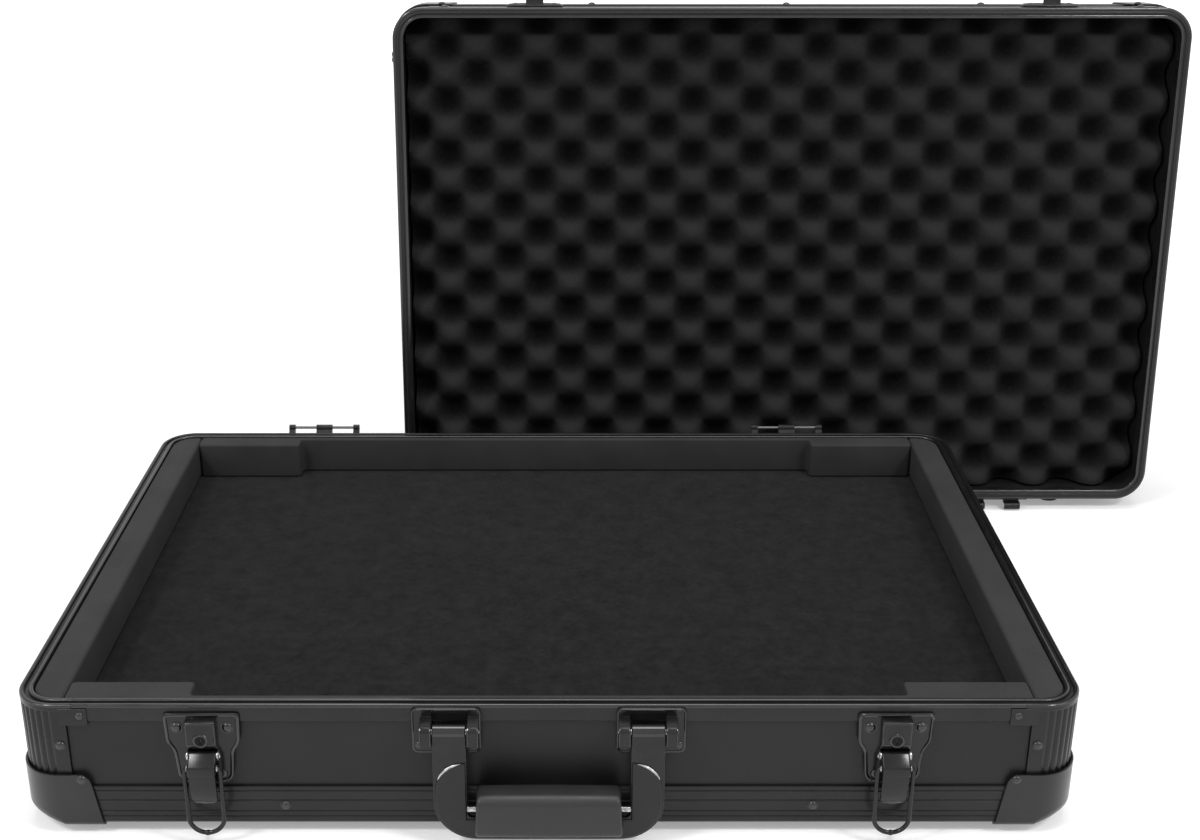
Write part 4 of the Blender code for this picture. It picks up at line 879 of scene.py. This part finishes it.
def lid_egg_crate():
    low, high = LID_Z + CRATE_DROP, LID_TOP - LINER
    half_x, half_y = HALF_WIDTH - FOAM_INSET - FIT, HALF_DEPTH - FOAM_INSET - FIT
    sizes = {"Width": 2 * half_x, "Depth": 2 * half_y, "Pitch X": 0.0507, "Pitch Y": 0.0438,
             "Wave": CRATE_WAVE, "Sharpness": 0.8, "Columns": 286, "Rows": 210}
    obj = grown("lid_egg_crate", bpy.data.meshes.new("crate_seed"), *crate_tree(sizes), sizes)
    r = CORNER_RADIUS - FOAM_INSET - FIT
    edit = opened(obj.data)
    for vert in edit.verts:
        over = Vector((abs(vert.co.x) - half_x + r, abs(vert.co.y) - half_y + r))
        if min(over) > 0 and over.length > r:
            over *= r / over.length
            vert.co.x = (half_x - r + over.x) * (1 if vert.co.x > 0 else -1)
            vert.co.y = (half_y - r + over.y) * (1 if vert.co.y > 0 else -1)
        vert.co.z += low
    border = [edge for edge in edit.edges if edge.is_boundary]
    walls = bmesh.ops.extrude_edge_only(edit, edges=border)["geom"]
    for item in walls:
        if isinstance(item, bmesh.types.BMVert):
            item.co.z = high
    back = [item for item in walls if isinstance(item, bmesh.types.BMEdge)]
    bmesh.ops.contextual_create(edit, geom=back)
    weld(edit, 0.00001)
    saved(edit, obj.data).transform(LID)
    smooth(obj.data, 60)
    file_piece(obj, "lid", ("lid_foam",))


# Latches


def latch_outline(x):
    """A broad head for the rivets, shoulders, and a narrower tail."""
    half = [(0.0228, 0.0045), (0.0220, 0.0245), (0.0180, 0.0305), (0.0166, 0.0480), (0.0130, 0.0525)]
    return [(x - u, RIM_Z - v) for u, v in half] + [(x + u, RIM_Z - v) for u, v in reversed(half)]


def pair(x, sign, near, far):
    """Left and right ends of something that spans from near to far on one side of x."""
    return sorted((x + sign * near, x + sign * far))


def latch_plate_shapes(x):
    """The pressed plate with its lock housing."""
    root, high, foot_z = PLATE_FACE + 0.0005, RIM_Z - 0.0075, RIM_Z - 0.0278
    profile = [(root, high), (HOUSING_FACE, high), (HOUSING_FACE, RIM_Z - 0.0235), (FRONT - 0.0045, foot_z),
               (root, foot_z)]
    return [wall_plate(latch_outline(x)),
            slab(rounded(profile, 0.0012, 4), x - 0.0092, x + 0.0092, 0.0007, ON_SIDE_VIEW, 3)]


def plate_ridge(outline, reach=0.0014, radius=0.0009):
    """The rolled border of a pressed plate."""
    ridge = rounded(inset(outline if area(outline) > 0 else outline[::-1], reach), PLATE_CORNER, 5)
    return tube([(px, PLATE_FACE + 0.0003, pz) for px, pz in ridge], radius, 8, True)


def latch_line_shapes(x):
    """Rolled border of the plate and the raised line round the housing's face."""
    line = round_rectangle(x - 0.0083, x + 0.0083, RIM_Z - 0.0226, RIM_Z - 0.0084, 0.0012, 4)
    return [plate_ridge(latch_outline(x), 0.0012, 0.0011),
            tube([(px, HOUSING_FACE + 0.0002, pz) for px, pz in line], 0.00045, 8, True)]


def latch_pin_shapes(x):
    """The lever's pin with its heads, and the plate's ears that hold it."""
    y, z = LATCH_PIN
    end, root = EAR_INNER + 0.0016, PLATE_FACE + 0.0005
    shapes = [rod((x - end, y, z), (x + end, y, z), 0.0012)]
    ear = [(root, z + EAR_RADIUS)] + arc(LATCH_PIN, EAR_RADIUS, 90, 270, 12) + [(root, z - EAR_RADIUS)]
    for sign in (-1, 1):
        start = x + sign * (EAR_INNER + 0.0010)
        shapes.append(rod((start, y, z), (start + sign * 0.0011, y, z), 0.0018, 16, 0.0005))
        shapes.append(slab(ear, *pair(x, sign, EAR_INNER, EAR_INNER + 0.0013), 0.0003, ON_SIDE_VIEW))
    return shapes


def ribbon(stations, thickness, edge):
    """A strip in the YZ plane through stations of (out, up, half width), with rounded edges."""
    rings = []
    for i, (y, z, half) in enumerate(stations):
        before, after = stations[max(i - 1, 0)], stations[min(i + 1, len(stations) - 1)]
        along = Vector((after[0] - before[0], after[1] - before[1])).normalized()
        normal = Vector((-along.y, along.x))
        section = rounded([(-half, -thickness / 2), (half, -thickness / 2), (half, thickness / 2),
                           (-half, thickness / 2)], edge, 3)
        rings.append([(u, y + normal.x * v, z + normal.y * v) for u, v in section])
    return loft(rings)


def lever_shapes(x):
    """A strip that bends in at its rounded tip, on a boss that holds both pins."""
    bends = ((0.0124, 0.0372), (0.0124, 0.0480), (0.0117, 0.0570), (0.0078, 0.0625))
    half, tip, steps = LEVER_HALF - 0.0001, 0.0055, 26
    stations = []
    for step in range(steps + 1):
        t = step / steps
        shares = ((1 - t) ** 3, 3 * t * (1 - t) ** 2, 3 * t * t * (1 - t), t ** 3)
        out, drop = (sum(share * bend[k] for share, bend in zip(shares, bends)) for k in (0, 1))
        left = hypot(bends[3][0] - out, bends[3][1] - drop)
        round_in = tip - sqrt(max(tip ** 2 - max(tip - left, 0) ** 2, 0))
        stations.append((FRONT - out, RIM_Z - drop, half - min(round_in, 0.0052)))
    strip = moved(ribbon(stations, 0.0024, 0.0009), Matrix.Translation((x, 0, 0)))
    angle = degrees(atan2(BAIL_PIN[1] - LATCH_PIN[1], BAIL_PIN[0] - LATCH_PIN[0]))
    boss = arc(LATCH_PIN, EAR_RADIUS, angle + 90, angle + 270, 12)
    boss += arc(BAIL_PIN, 0.0031, angle + 270, 180, 5)
    boss += [(FRONT - 0.01355, RIM_Z - 0.0405), (FRONT - 0.0108, RIM_Z - 0.0415)]
    return [strip, slab(boss, x - half, x + half, 0.0005, ON_SIDE_VIEW, 3)]


def bail_shapes(x):
    """A closed wire loop with its butt weld."""
    y, z = BAIL_PIN
    half = BAIL_WIDTH / 2 - BAIL_WIRE
    length = hypot(LID_Z + CATCH_HEIGHT - z, FRONT - CATCH_REACH - y)
    end = LEVER_HALF - 0.003
    bend = half - LEVER_HALF - FIT
    loop = [(-end, 0)] + arc((-half + bend, -bend), bend, 90, 180, 6)
    loop += [(-half, -length * share) for share in (0.2, 0.4, 0.6)]
    loop += arc((0, half - length), half, 180, 360, 24)
    loop += [(half, -length * share) for share in (0.6, 0.4, 0.2)]
    loop += arc((half - bend, -bend), bend, 0, 90, 6) + [(end, 0)]
    weld = arc((0, half - length), half, 262, 278, 6)
    swell = [0.0012, 0.0016, 0.0017, 0.00175, 0.0017, 0.0016, 0.0012]
    return [tube([(x + px, y, z + pz) for px, pz in line], radius, sides)
            for line, radius, sides in ((loop, BAIL_WIRE, 14), (weld, swell, 12))]


def bail_collar_shapes(x):
    y, z = BAIL_PIN
    return [rod((x + sign * EAR_INNER, y, z), (x + sign * (EAR_INNER + 0.0012), y, z), 0.0021, 18, 0.0005)
            for sign in (-1, 1)]


def latches():
    for hand, side in HANDS:
        x = side * LATCH_X
        lever, bail = f"latch_lever_{hand}", f"latch_bail_{hand}"
        ring = torus((x, FRONT - 0.0077, RIM_Z - 0.0195), (0, 1, 0), 0.0038, 0.0010)
        for name, shapes, coat, body, nodes in (
                ("latch_base", latch_plate_shapes(x), HARDWARE, "base", (f"latch_plate_{hand}",)),
                ("latch_flap", lever_shapes(x), HARDWARE, lever, (lever,)),
                ("latch_loop", bail_shapes(x), HARDWARE, bail, (bail,)),
                ("latch_lines", latch_line_shapes(x), EDGE, "base", ()),
                ("latch_pins", latch_pin_shapes(x), NICKEL_AND_HIGHLIGHT, "base", ()),
                ("lock_rings", [ring], EDGE, "base", ()),
                ("bail_collars", bail_collar_shapes(x), NICKEL_AND_HIGHLIGHT, bail, ())):
            piece(f"{name}_{hand}", shapes, coat, body, nodes)


def catches():
    """Catch plates on the lid: a round shelf for the bail and a lip that keeps it."""
    clear = BAIL_WIRE + 0.0005
    seat_z = LID_Z + CATCH_HEIGHT - clear
    radius = BAIL_WIDTH / 2 - BAIL_WIRE - clear
    low_angle = 90 - degrees(acos(1 - 0.0035 / radius))
    end, low = FRONT - 0.0099, LID_Z + 0.002
    plate = ((-0.0225, 0), (0.0225, 0), (0.0225, 0.013), (0.0135, 0.022), (-0.0135, 0.022),
             (-0.0225, 0.013))
    for hand, side in HANDS:
        x = side * LATCH_X
        outline = [(x + u, low + v) for u, v in plate]
        shelf = arc((x, seat_z - radius), radius, low_angle, 180 - low_angle, 14)
        lip = [(end + 0.0014, seat_z + 0.003), (end, seat_z + 0.003), (end, seat_z - 0.0018),
               (end + 0.0014, seat_z - 0.0035)]
        shapes = [wall_plate(outline),
                  slab(shelf, -PLATE_FACE - 0.0005, -end - 0.0007, 0.0002, ON_FRONT_VIEW),
                  slab(rounded(lip, 0.0005, 3), x - 0.0086, x + 0.0086, 0.0006, ON_SIDE_VIEW)]
        piece(f"catch_ridge_{hand}", [plate_ridge(outline)], EDGE, "lid", (), LID)
        piece(f"catch_plate_{hand}", shapes, HARDWARE, "lid", (f"lid_catch_{hand}",), LID)


# Handle


def brackets():
    """Plates with a window for each eye, a pair of lugs and the pin between them."""
    pin_y, pin_z = HANDLE_PIN
    high = RIM_Z - 0.0008
    front, root, foot_z = pin_y - EYE_RADIUS, PLATE_BACK - 0.0007, pin_z - 0.0085
    lug = [(root, pin_z + 0.0060), (pin_y, pin_z + 0.0045)] + arc(HANDLE_PIN, 0.0045, 90, 180, 8)[1:]
    lug += [(front, pin_z - 0.0078), (front + 0.0015, foot_z), (root, foot_z)]
    reach = LUG_INNER + 0.0075
    for hand, side in HANDS:
        x, eye = side * BRACKET_X, side * EYE_X
        outer = round_rectangle(x - 0.0208, x + 0.0208, high - 0.031, high, 0.004, 5)
        window = round_rectangle(eye - 0.0108, eye + 0.0108, pin_z - 0.0095, pin_z + 0.009, 0.0015, 5)
        shapes = [framed_slab(outer, window, -PLATE_BACK, -PLATE_BACK + PLATE, 0.0004, ON_FRONT_VIEW)]
        lines = [plate_ridge(outer, 0.0010, 0.0007)]
        for sign in (-1, 1):
            left, right = pair(eye, sign, LUG_INNER, LUG_INNER + LUG_WIDTH)
            shapes.append(slab(lug, left, right, 0.0007, ON_SIDE_VIEW, 3))
            hoop = [(left + 0.0006, front, pin_z - 0.0074)]
            hoop += [(left + 0.0006, y, z) for y, z in arc(HANDLE_PIN, 0.0044, 180, 110, 6)]
            hoop += [(right - 0.0006, y, z) for _x, y, z in reversed(hoop)]
            lines.append(tube(hoop, 0.0005, 8))
        pin = rod((eye - reach, pin_y, pin_z), (eye + reach, pin_y, pin_z), 0.002, 20, 0.0006)
        piece(f"handle_plate_{hand}", shapes, HARDWARE, "base", (f"handle_bracket_{hand}",))
        piece(f"handle_plate_lines_{hand}", lines, EDGE, "base")
        piece(f"handle_pivot_{hand}", [pin], NICKEL_AND_HIGHLIGHT, "base")


def lower_bends(margin=0.0):
    """The yoke's two round lower corners, from left to right."""
    x, z = HANDLE_HALF - HANDLE_BEND, HANDLE_LOW + HANDLE_BEND
    radius = HANDLE_BEND - margin
    return arc((-x, z), radius, 180, 270, 12) + arc((x, z), radius, 270, 360, 12)


def raised_yoke():
    """The lower half of the yoke stands proud; its round shoulders cross the arms."""
    radius, edge_x, (hub, hub_z) = 0.0174, ARM_INNER + 0.0008, SHOULDER
    meet = degrees(asin((hub - edge_x) / radius))
    bar_top = HANDLE_LOW + HANDLE_BAR - 0.0008
    outline = arc((-hub, hub_z), radius, 90 - meet, 180, 14) + lower_bends(0.0014)
    outline += arc((hub, hub_z), radius, 0, 90 + meet, 14) + [(edge_x, bar_top), (-edge_x, bar_top)]
    return slab(outline, YOKE_FACE - 0.0006, YOKE_FACE + 0.0010, 0.0010, ON_FRONT_VIEW, 4)


def handle_frame():
    pin_y, pin_z = HANDLE_PIN
    inner, low_bend = ARM_INNER, 0.0036
    waist, neck, wide = LUG_INNER - 0.0004, pin_z - 0.00675, pin_z - 0.01125
    near_x, far_x, bar_z = EYE_X - waist, EYE_X + waist, HANDLE_LOW + HANDLE_BAR + low_bend
    outline = [(-far_x, pin_z), (-far_x, neck), (-HANDLE_HALF, wide)] + lower_bends()
    outline += [(HANDLE_HALF, wide), (far_x, neck), (far_x, pin_z)]
    outline += [(near_x, pin_z), (near_x, neck), (inner, wide)]
    outline += arc((inner - low_bend, bar_z), low_bend, 0, -90, 5)
    outline += arc((-inner + low_bend, bar_z), low_bend, 270, 180, 5)
    outline += [(-inner, wide), (-near_x, neck), (-near_x, pin_z)]
    shapes = [slab(outline, YOKE_FACE - 0.003, YOKE_FACE, 0.0008, ON_FRONT_VIEW, 3), raised_yoke()]
    eyes, studs, highlight_crescents = [], [], []
    profile = [(0.0023, 0), (0.0039, 0), (EYE_RADIUS, 0.0006), (EYE_RADIUS, 2 * waist - 0.0006),
               (0.0039, 2 * waist), (0.0023, 2 * waist), (0.0023, 0)]
    stud_z, stud_end = GRIP_Z + 0.0015, inner + 0.0005
    for side in (-1, 1):
        place = Matrix.Translation((side * EYE_X - waist, pin_y, pin_z)) @ Matrix.Rotation(pi / 2, 4, "Y")
        eyes.append(lathe(profile, 28, place))
        studs.append(rod((side * 0.0420, GRIP_Y, stud_z), (side * stud_end, GRIP_Y, stud_z), 0.0019, 18))
        # a tapered tube of pale nickel along each shoulder's upper arc: a painted highlight
        glint = arc((side * SHOULDER[0], SHOULDER[1]), 0.0170, 90 - side * 6, 90 - side * 72, 20)
        size = [0.0009 * sin(pi * (i + 0.5) / len(glint)) ** 0.8 for i in range(len(glint))]
        highlight_crescents.append(tube([(px, -YOKE_FACE - 0.0005, pz) for px, pz in glint], size, 10))
    piece("handle_yoke", shapes, HARDWARE, "handle", ("handle_frame",))
    for name, parts, coat in (("handle_shoulder_highlights", highlight_crescents, NICKEL_AND_HIGHLIGHT), ("handle_eyes", eyes, EDGE),
                              ("grip_studs", studs, NICKEL_AND_HIGHLIGHT)):
        piece(name, parts, coat, "handle")


def handle_grip():
    """A moulded grip with rounded edges and with ends that lean and are softly rounded."""
    half_y, half_z, half_x, soft = 0.010, 0.0145, 0.04425, 0.0022
    stations = [(half_x - soft * (1 - sin(pi / 2 * k / 5)), soft * (1 - cos(pi / 2 * k / 5)))
                for k in range(6)]
    xs = [(-x, narrow) for x, narrow in sorted(stations, reverse=True)]
    xs += [(-half_x + 0.006, 0.0), (0.0, -0.0003), (half_x - 0.006, 0.0)]
    xs += sorted(stations)
    rings = []
    for x, narrow in xs:
        section = round_rectangle(-half_y + narrow, half_y - narrow, -half_z + narrow, half_z - narrow,
                                  0.0062 - narrow * 0.6, 6)
        lean = 0.05 * (1 if x > 0 else -1) * min(abs(x) / half_x, 1)
        rings.append([(x - lean * (v + half_z), GRIP_Y + u, GRIP_Z + v) for u, v in section])
    piece("handle_handgrip", [loft(rings)], GRIP, "handle", ("handle_grip",), angle=45)


# Rivets


def rivet_tree(sizes):
    """Domed rivet heads with a thin flange, one on each point, turned to the point's facing."""
    tree, given, names = new_tree("domed_rivets", sizes)
    ball = node(tree, "GeometryNodeMeshUVSphere", {"Segments": given["Sides"], "Rings": 10, "Radius": 1.0})
    size = node(tree, "ShaderNodeCombineXYZ", {"X": given["Radius"], "Y": given["Radius"],
                                               "Z": given["Height"]})
    dome = node(tree, "GeometryNodeTransform", {"Geometry": ball.outputs["Mesh"], "Scale": size.outputs[0]})
    flange = node(tree, "GeometryNodeMeshCylinder", {
        "Vertices": given["Sides"], "Radius": math_node(tree, "MULTIPLY", given["Radius"], 1.14),
        "Depth": given["Flange"]})
    head = node(tree, "GeometryNodeJoinGeometry", {0: dome.outputs[0]})
    tree.links.new(flange.outputs["Mesh"], head.inputs[0])
    facing, scale = (
        node(tree, "GeometryNodeInputNamedAttribute", {"Name": name}, data_type=kind).outputs[0]
        for name, kind in (("facing", "FLOAT_VECTOR"), ("size", "FLOAT")))
    turn = node(tree, "FunctionNodeAlignRotationToVector", {"Vector": facing}, axis="Z")
    heads = node(tree, "GeometryNodeInstanceOnPoints", {
        "Points": given["Geometry"], "Instance": head.outputs[0], "Rotation": turn.outputs[0],
        "Scale": scale})
    close_tree(tree, heads.outputs[0], EDGE)
    return tree, names


def rivets(name, places, tree_and_names, sizes, body, place=None):
    """Rivets at (point, facing, size), as one plain piece."""
    mesh = bpy.data.meshes.new(f"{name}_points")
    mesh.from_pydata([point for point, _facing, _size in places], [], [])
    facing = mesh.attributes.new("facing", "FLOAT_VECTOR", "POINT")
    facing.data.foreach_set("vector", [part for _point, direction, _size in places for part in direction])
    size = mesh.attributes.new("size", "FLOAT", "POINT")
    size.data.foreach_set("value", [scale for _point, _facing, scale in places])
    obj = grown(name, mesh, *tree_and_names, sizes)
    if place is not None:
        obj.data.transform(place)
    smooth(obj.data, 40)
    file_piece(obj, body)


def on_side(number, along, height, out, size):
    """A rivet on a side, by its distance along the side from its corner."""
    turn = corner_place(number)
    return tuple(turn @ Vector((along, -out, height))), tuple(turn.to_3x3() @ Vector((0, -1, 0))), size


def both_ends(number, length, rows):
    return [on_side(number, distance, height, out, size) for along, height, out, size in rows
            for distance in (along, length - along)]


def in_row(x, y, offsets, z, size):
    """Rivets side by side on hardware of the front or rear wall."""
    return [((x + offset, y, z), (0, -1 if y < 0 else 1, 0), size) for offset in offsets]


HINGE_ROW = (-0.0215, 0.0, 0.0215)
HINGE_FACE = HALF_DEPTH + FIT + PLATE


def base_rivet_places():
    places = []
    for number, (_side, length) in enumerate(SIDES):
        places += both_ends(number, length, ((0.0415, RIM_Z - 0.0075, 0.0, 0.85),
                                             (0.028, RIM_Z - 0.028, 0.0, 0.95),
                                             (0.0386, RIM_Z - 0.051, 0.0018, 0.95)))
        for along in (0.16, 0.48) if length == CASE_WIDTH else (0.11, 0.306):
            places.append(on_side(number, along, UNDERSIDE + 0.0135, 0.0, 0.95))
            if number:
                places.append(on_side(number, along, RIM_Z - 0.0065, 0.0, 0.8))
    for _hand, side in HANDS:
        places += in_row(side * LATCH_X, PLATE_FACE, (-0.0152, 0.0152), RIM_Z - 0.0140, 1.1)
        places += in_row(side * LATCH_X, PLATE_FACE, (-0.0105, 0.0105), RIM_Z - 0.0465, 0.8)
        places += in_row(side * BRACKET_X, PLATE_FACE, (-0.0165, 0.0165), RIM_Z - 0.0262, 0.75)
        places += in_row(side * HINGE_X, HINGE_FACE, HINGE_ROW, RIM_Z - 0.0235, 0.95)
    return places


def lid_rivet_places():
    places = []
    for number, (_side, length) in enumerate(SIDES):
        places += both_ends(number, length, ((0.0415, LID_Z + 0.0075, 0.0003, 0.85),
                                             (0.0386, LID_TOP - UNDERSIDE - 0.036, 0.0018, 0.9)))
        for along in (0.16, 0.32, 0.48) if length == CASE_WIDTH else (0.11, 0.306):
            places.append(on_side(number, along, LID_TOP - 0.0105, 0.0, 0.95))
    for _hand, side in HANDS:
        places += in_row(side * LATCH_X, PLATE_FACE, (-0.0155, 0.0155), LID_Z + 0.0095, 0.9)
        places += in_row(side * HINGE_X, HINGE_FACE, HINGE_ROW, PIN_Z + 0.0255, 0.95)
    return places


def all_rivets():
    sizes = {"Radius": 0.003, "Height": 0.0017, "Flange": 0.0006, "Sides": 20}
    tree_and_names = rivet_tree(sizes)
    rivets("base_rivets", base_rivet_places(), tree_and_names, sizes, "base")
    rivets("lid_rivets", lid_rivet_places(), tree_and_names, sizes, "lid", LID)


def repaint(coat, *names):
    for name in names:
        kept = frame["nodes"][name]
        if not kept.material_slots:
            kept.data.materials.append(coat)
        for slot in kept.material_slots:
            slot.link = "OBJECT"
            slot.material = coat


def carried_over():
    """Pieces whose CAD shape is right and that get a finish of their own."""
    repaint(LAMINATE, "base_bottom_panel", "lid_top_board", "lid_side_boards",
            *(f"base_{side}_panel" for side, _length in SIDES))
    for hand, _side in HANDS:
        repaint(HARDWARE, f"base_hinge_leaf_{hand}", f"lid_hinge_hooks_{hand}")
        repaint(PIN, f"hinge_pin_{hand}")
        repaint(LOCK, f"lock_cylinder_{hand}")


# Room, light and camera


def camera_sees(tree):
    """1 for rays that look straight, by reflection or through glass; 0 for the rest."""
    path = node(tree, "ShaderNodeLightPath").outputs
    looks = math_node(tree, "MAXIMUM", path["Is Camera Ray"], path["Is Glossy Ray"])
    return math_node(tree, "MAXIMUM", looks, path["Is Transmission Ray"])


def room():
    """A white room that lights the object softly, on a pale floor that keeps its shadow."""
    world = bpy.data.worlds.new("pale_studio")
    bpy.context.scene.world = world
    world.use_nodes = True
    tree = world.node_tree
    strength = node(tree, "ShaderNodeMapRange", {"Value": camera_sees(tree), "To Min": 0.36, "To Max": 1.0})
    feed(tree, tree.nodes["Background"], {"Color": (1, 1, 1, 1), "Strength": strength.outputs[0]})
    mesh = bpy.data.meshes.new("studio_floor")
    corners = ((-9, -9), (9, -9), (9, 9), (-9, 9))
    mesh.from_pydata([(x, y, FLOOR_Z) for x, y in corners], [], [(0, 1, 2, 3)])
    floor = shown("studio_floor", mesh)
    paint = Finish("pale_floor", (0.80, 0.80, 0.80), 0.0)
    distance = node(paint.tree, "ShaderNodeVectorMath", {0: paint.place}, operation="LENGTH")
    far = paint.spread(distance.outputs["Value"], 0.30, 1.0, 0.7, 2.6)
    glow = math_node(paint.tree, "MULTIPLY", camera_sees(paint.tree), far)
    feed(paint.tree, paint.shader, {"Emission Color": (1, 1, 1, 1), "Emission Strength": glow})
    mesh.materials.append(paint.done(paint.tint(paint.pattern(0.4, 2), 0.99, 1.01), 0.9))


def lights():
    for name, place, target, size, power in (
            ("overhead_softbox", (0.1, 0.1, 2.6), (0.05, 0.0, 0.0), (1.8, 0.9), 34),
            ("left_softbox", (-2.0, -1.2, 1.5), (0, 0, 0.05), (0.9, 1.4), 11),
            ("right_softbox", (2.1, -1.0, 1.4), (0, 0, 0.05), (0.9, 1.4), 9),
            ("left_sparkle", (-0.9, -0.8, 1.3), (-0.1, -0.2, 0.05), (0.28, 0.28), 10),
            ("right_sparkle", (0.95, -0.8, 1.3), (0.1, -0.2, 0.05), (0.28, 0.28), 10)):
        lamp = bpy.data.lights.new(name, "AREA")
        lamp.shape = "RECTANGLE"
        lamp.size, lamp.size_y = size
        lamp.energy = power
        obj = shown(name, lamp)
        obj.location = place
        obj.rotation_euler = (Vector(target) - Vector(place)).to_track_quat("-Z", "Y").to_euler()


def camera():
    lens = bpy.data.cameras.new("product_camera")
    lens.sensor_width, lens.lens = 36, 49.1
    lens.shift_x, lens.shift_y = 0.0234, -0.0085
    obj = shown("product_camera", lens)
    obj.location = (0.0137, -1.0395, 0.6066)
    obj.rotation_euler = (radians(90 - 22), 0, 0)
    bpy.context.scene.camera = obj
    bpy.context.scene.view_settings.view_transform = "Standard"


camera()
room()
lights()
base_rims()
base_beads()
corner_posts()
base_rails()
base_caps()
lid_frame()
lid_edges()
feet()
foam_sheets()
lid_egg_crate()
latches()
catches()
brackets()
handle_frame()
handle_grip()
all_rivets()
carried_over()
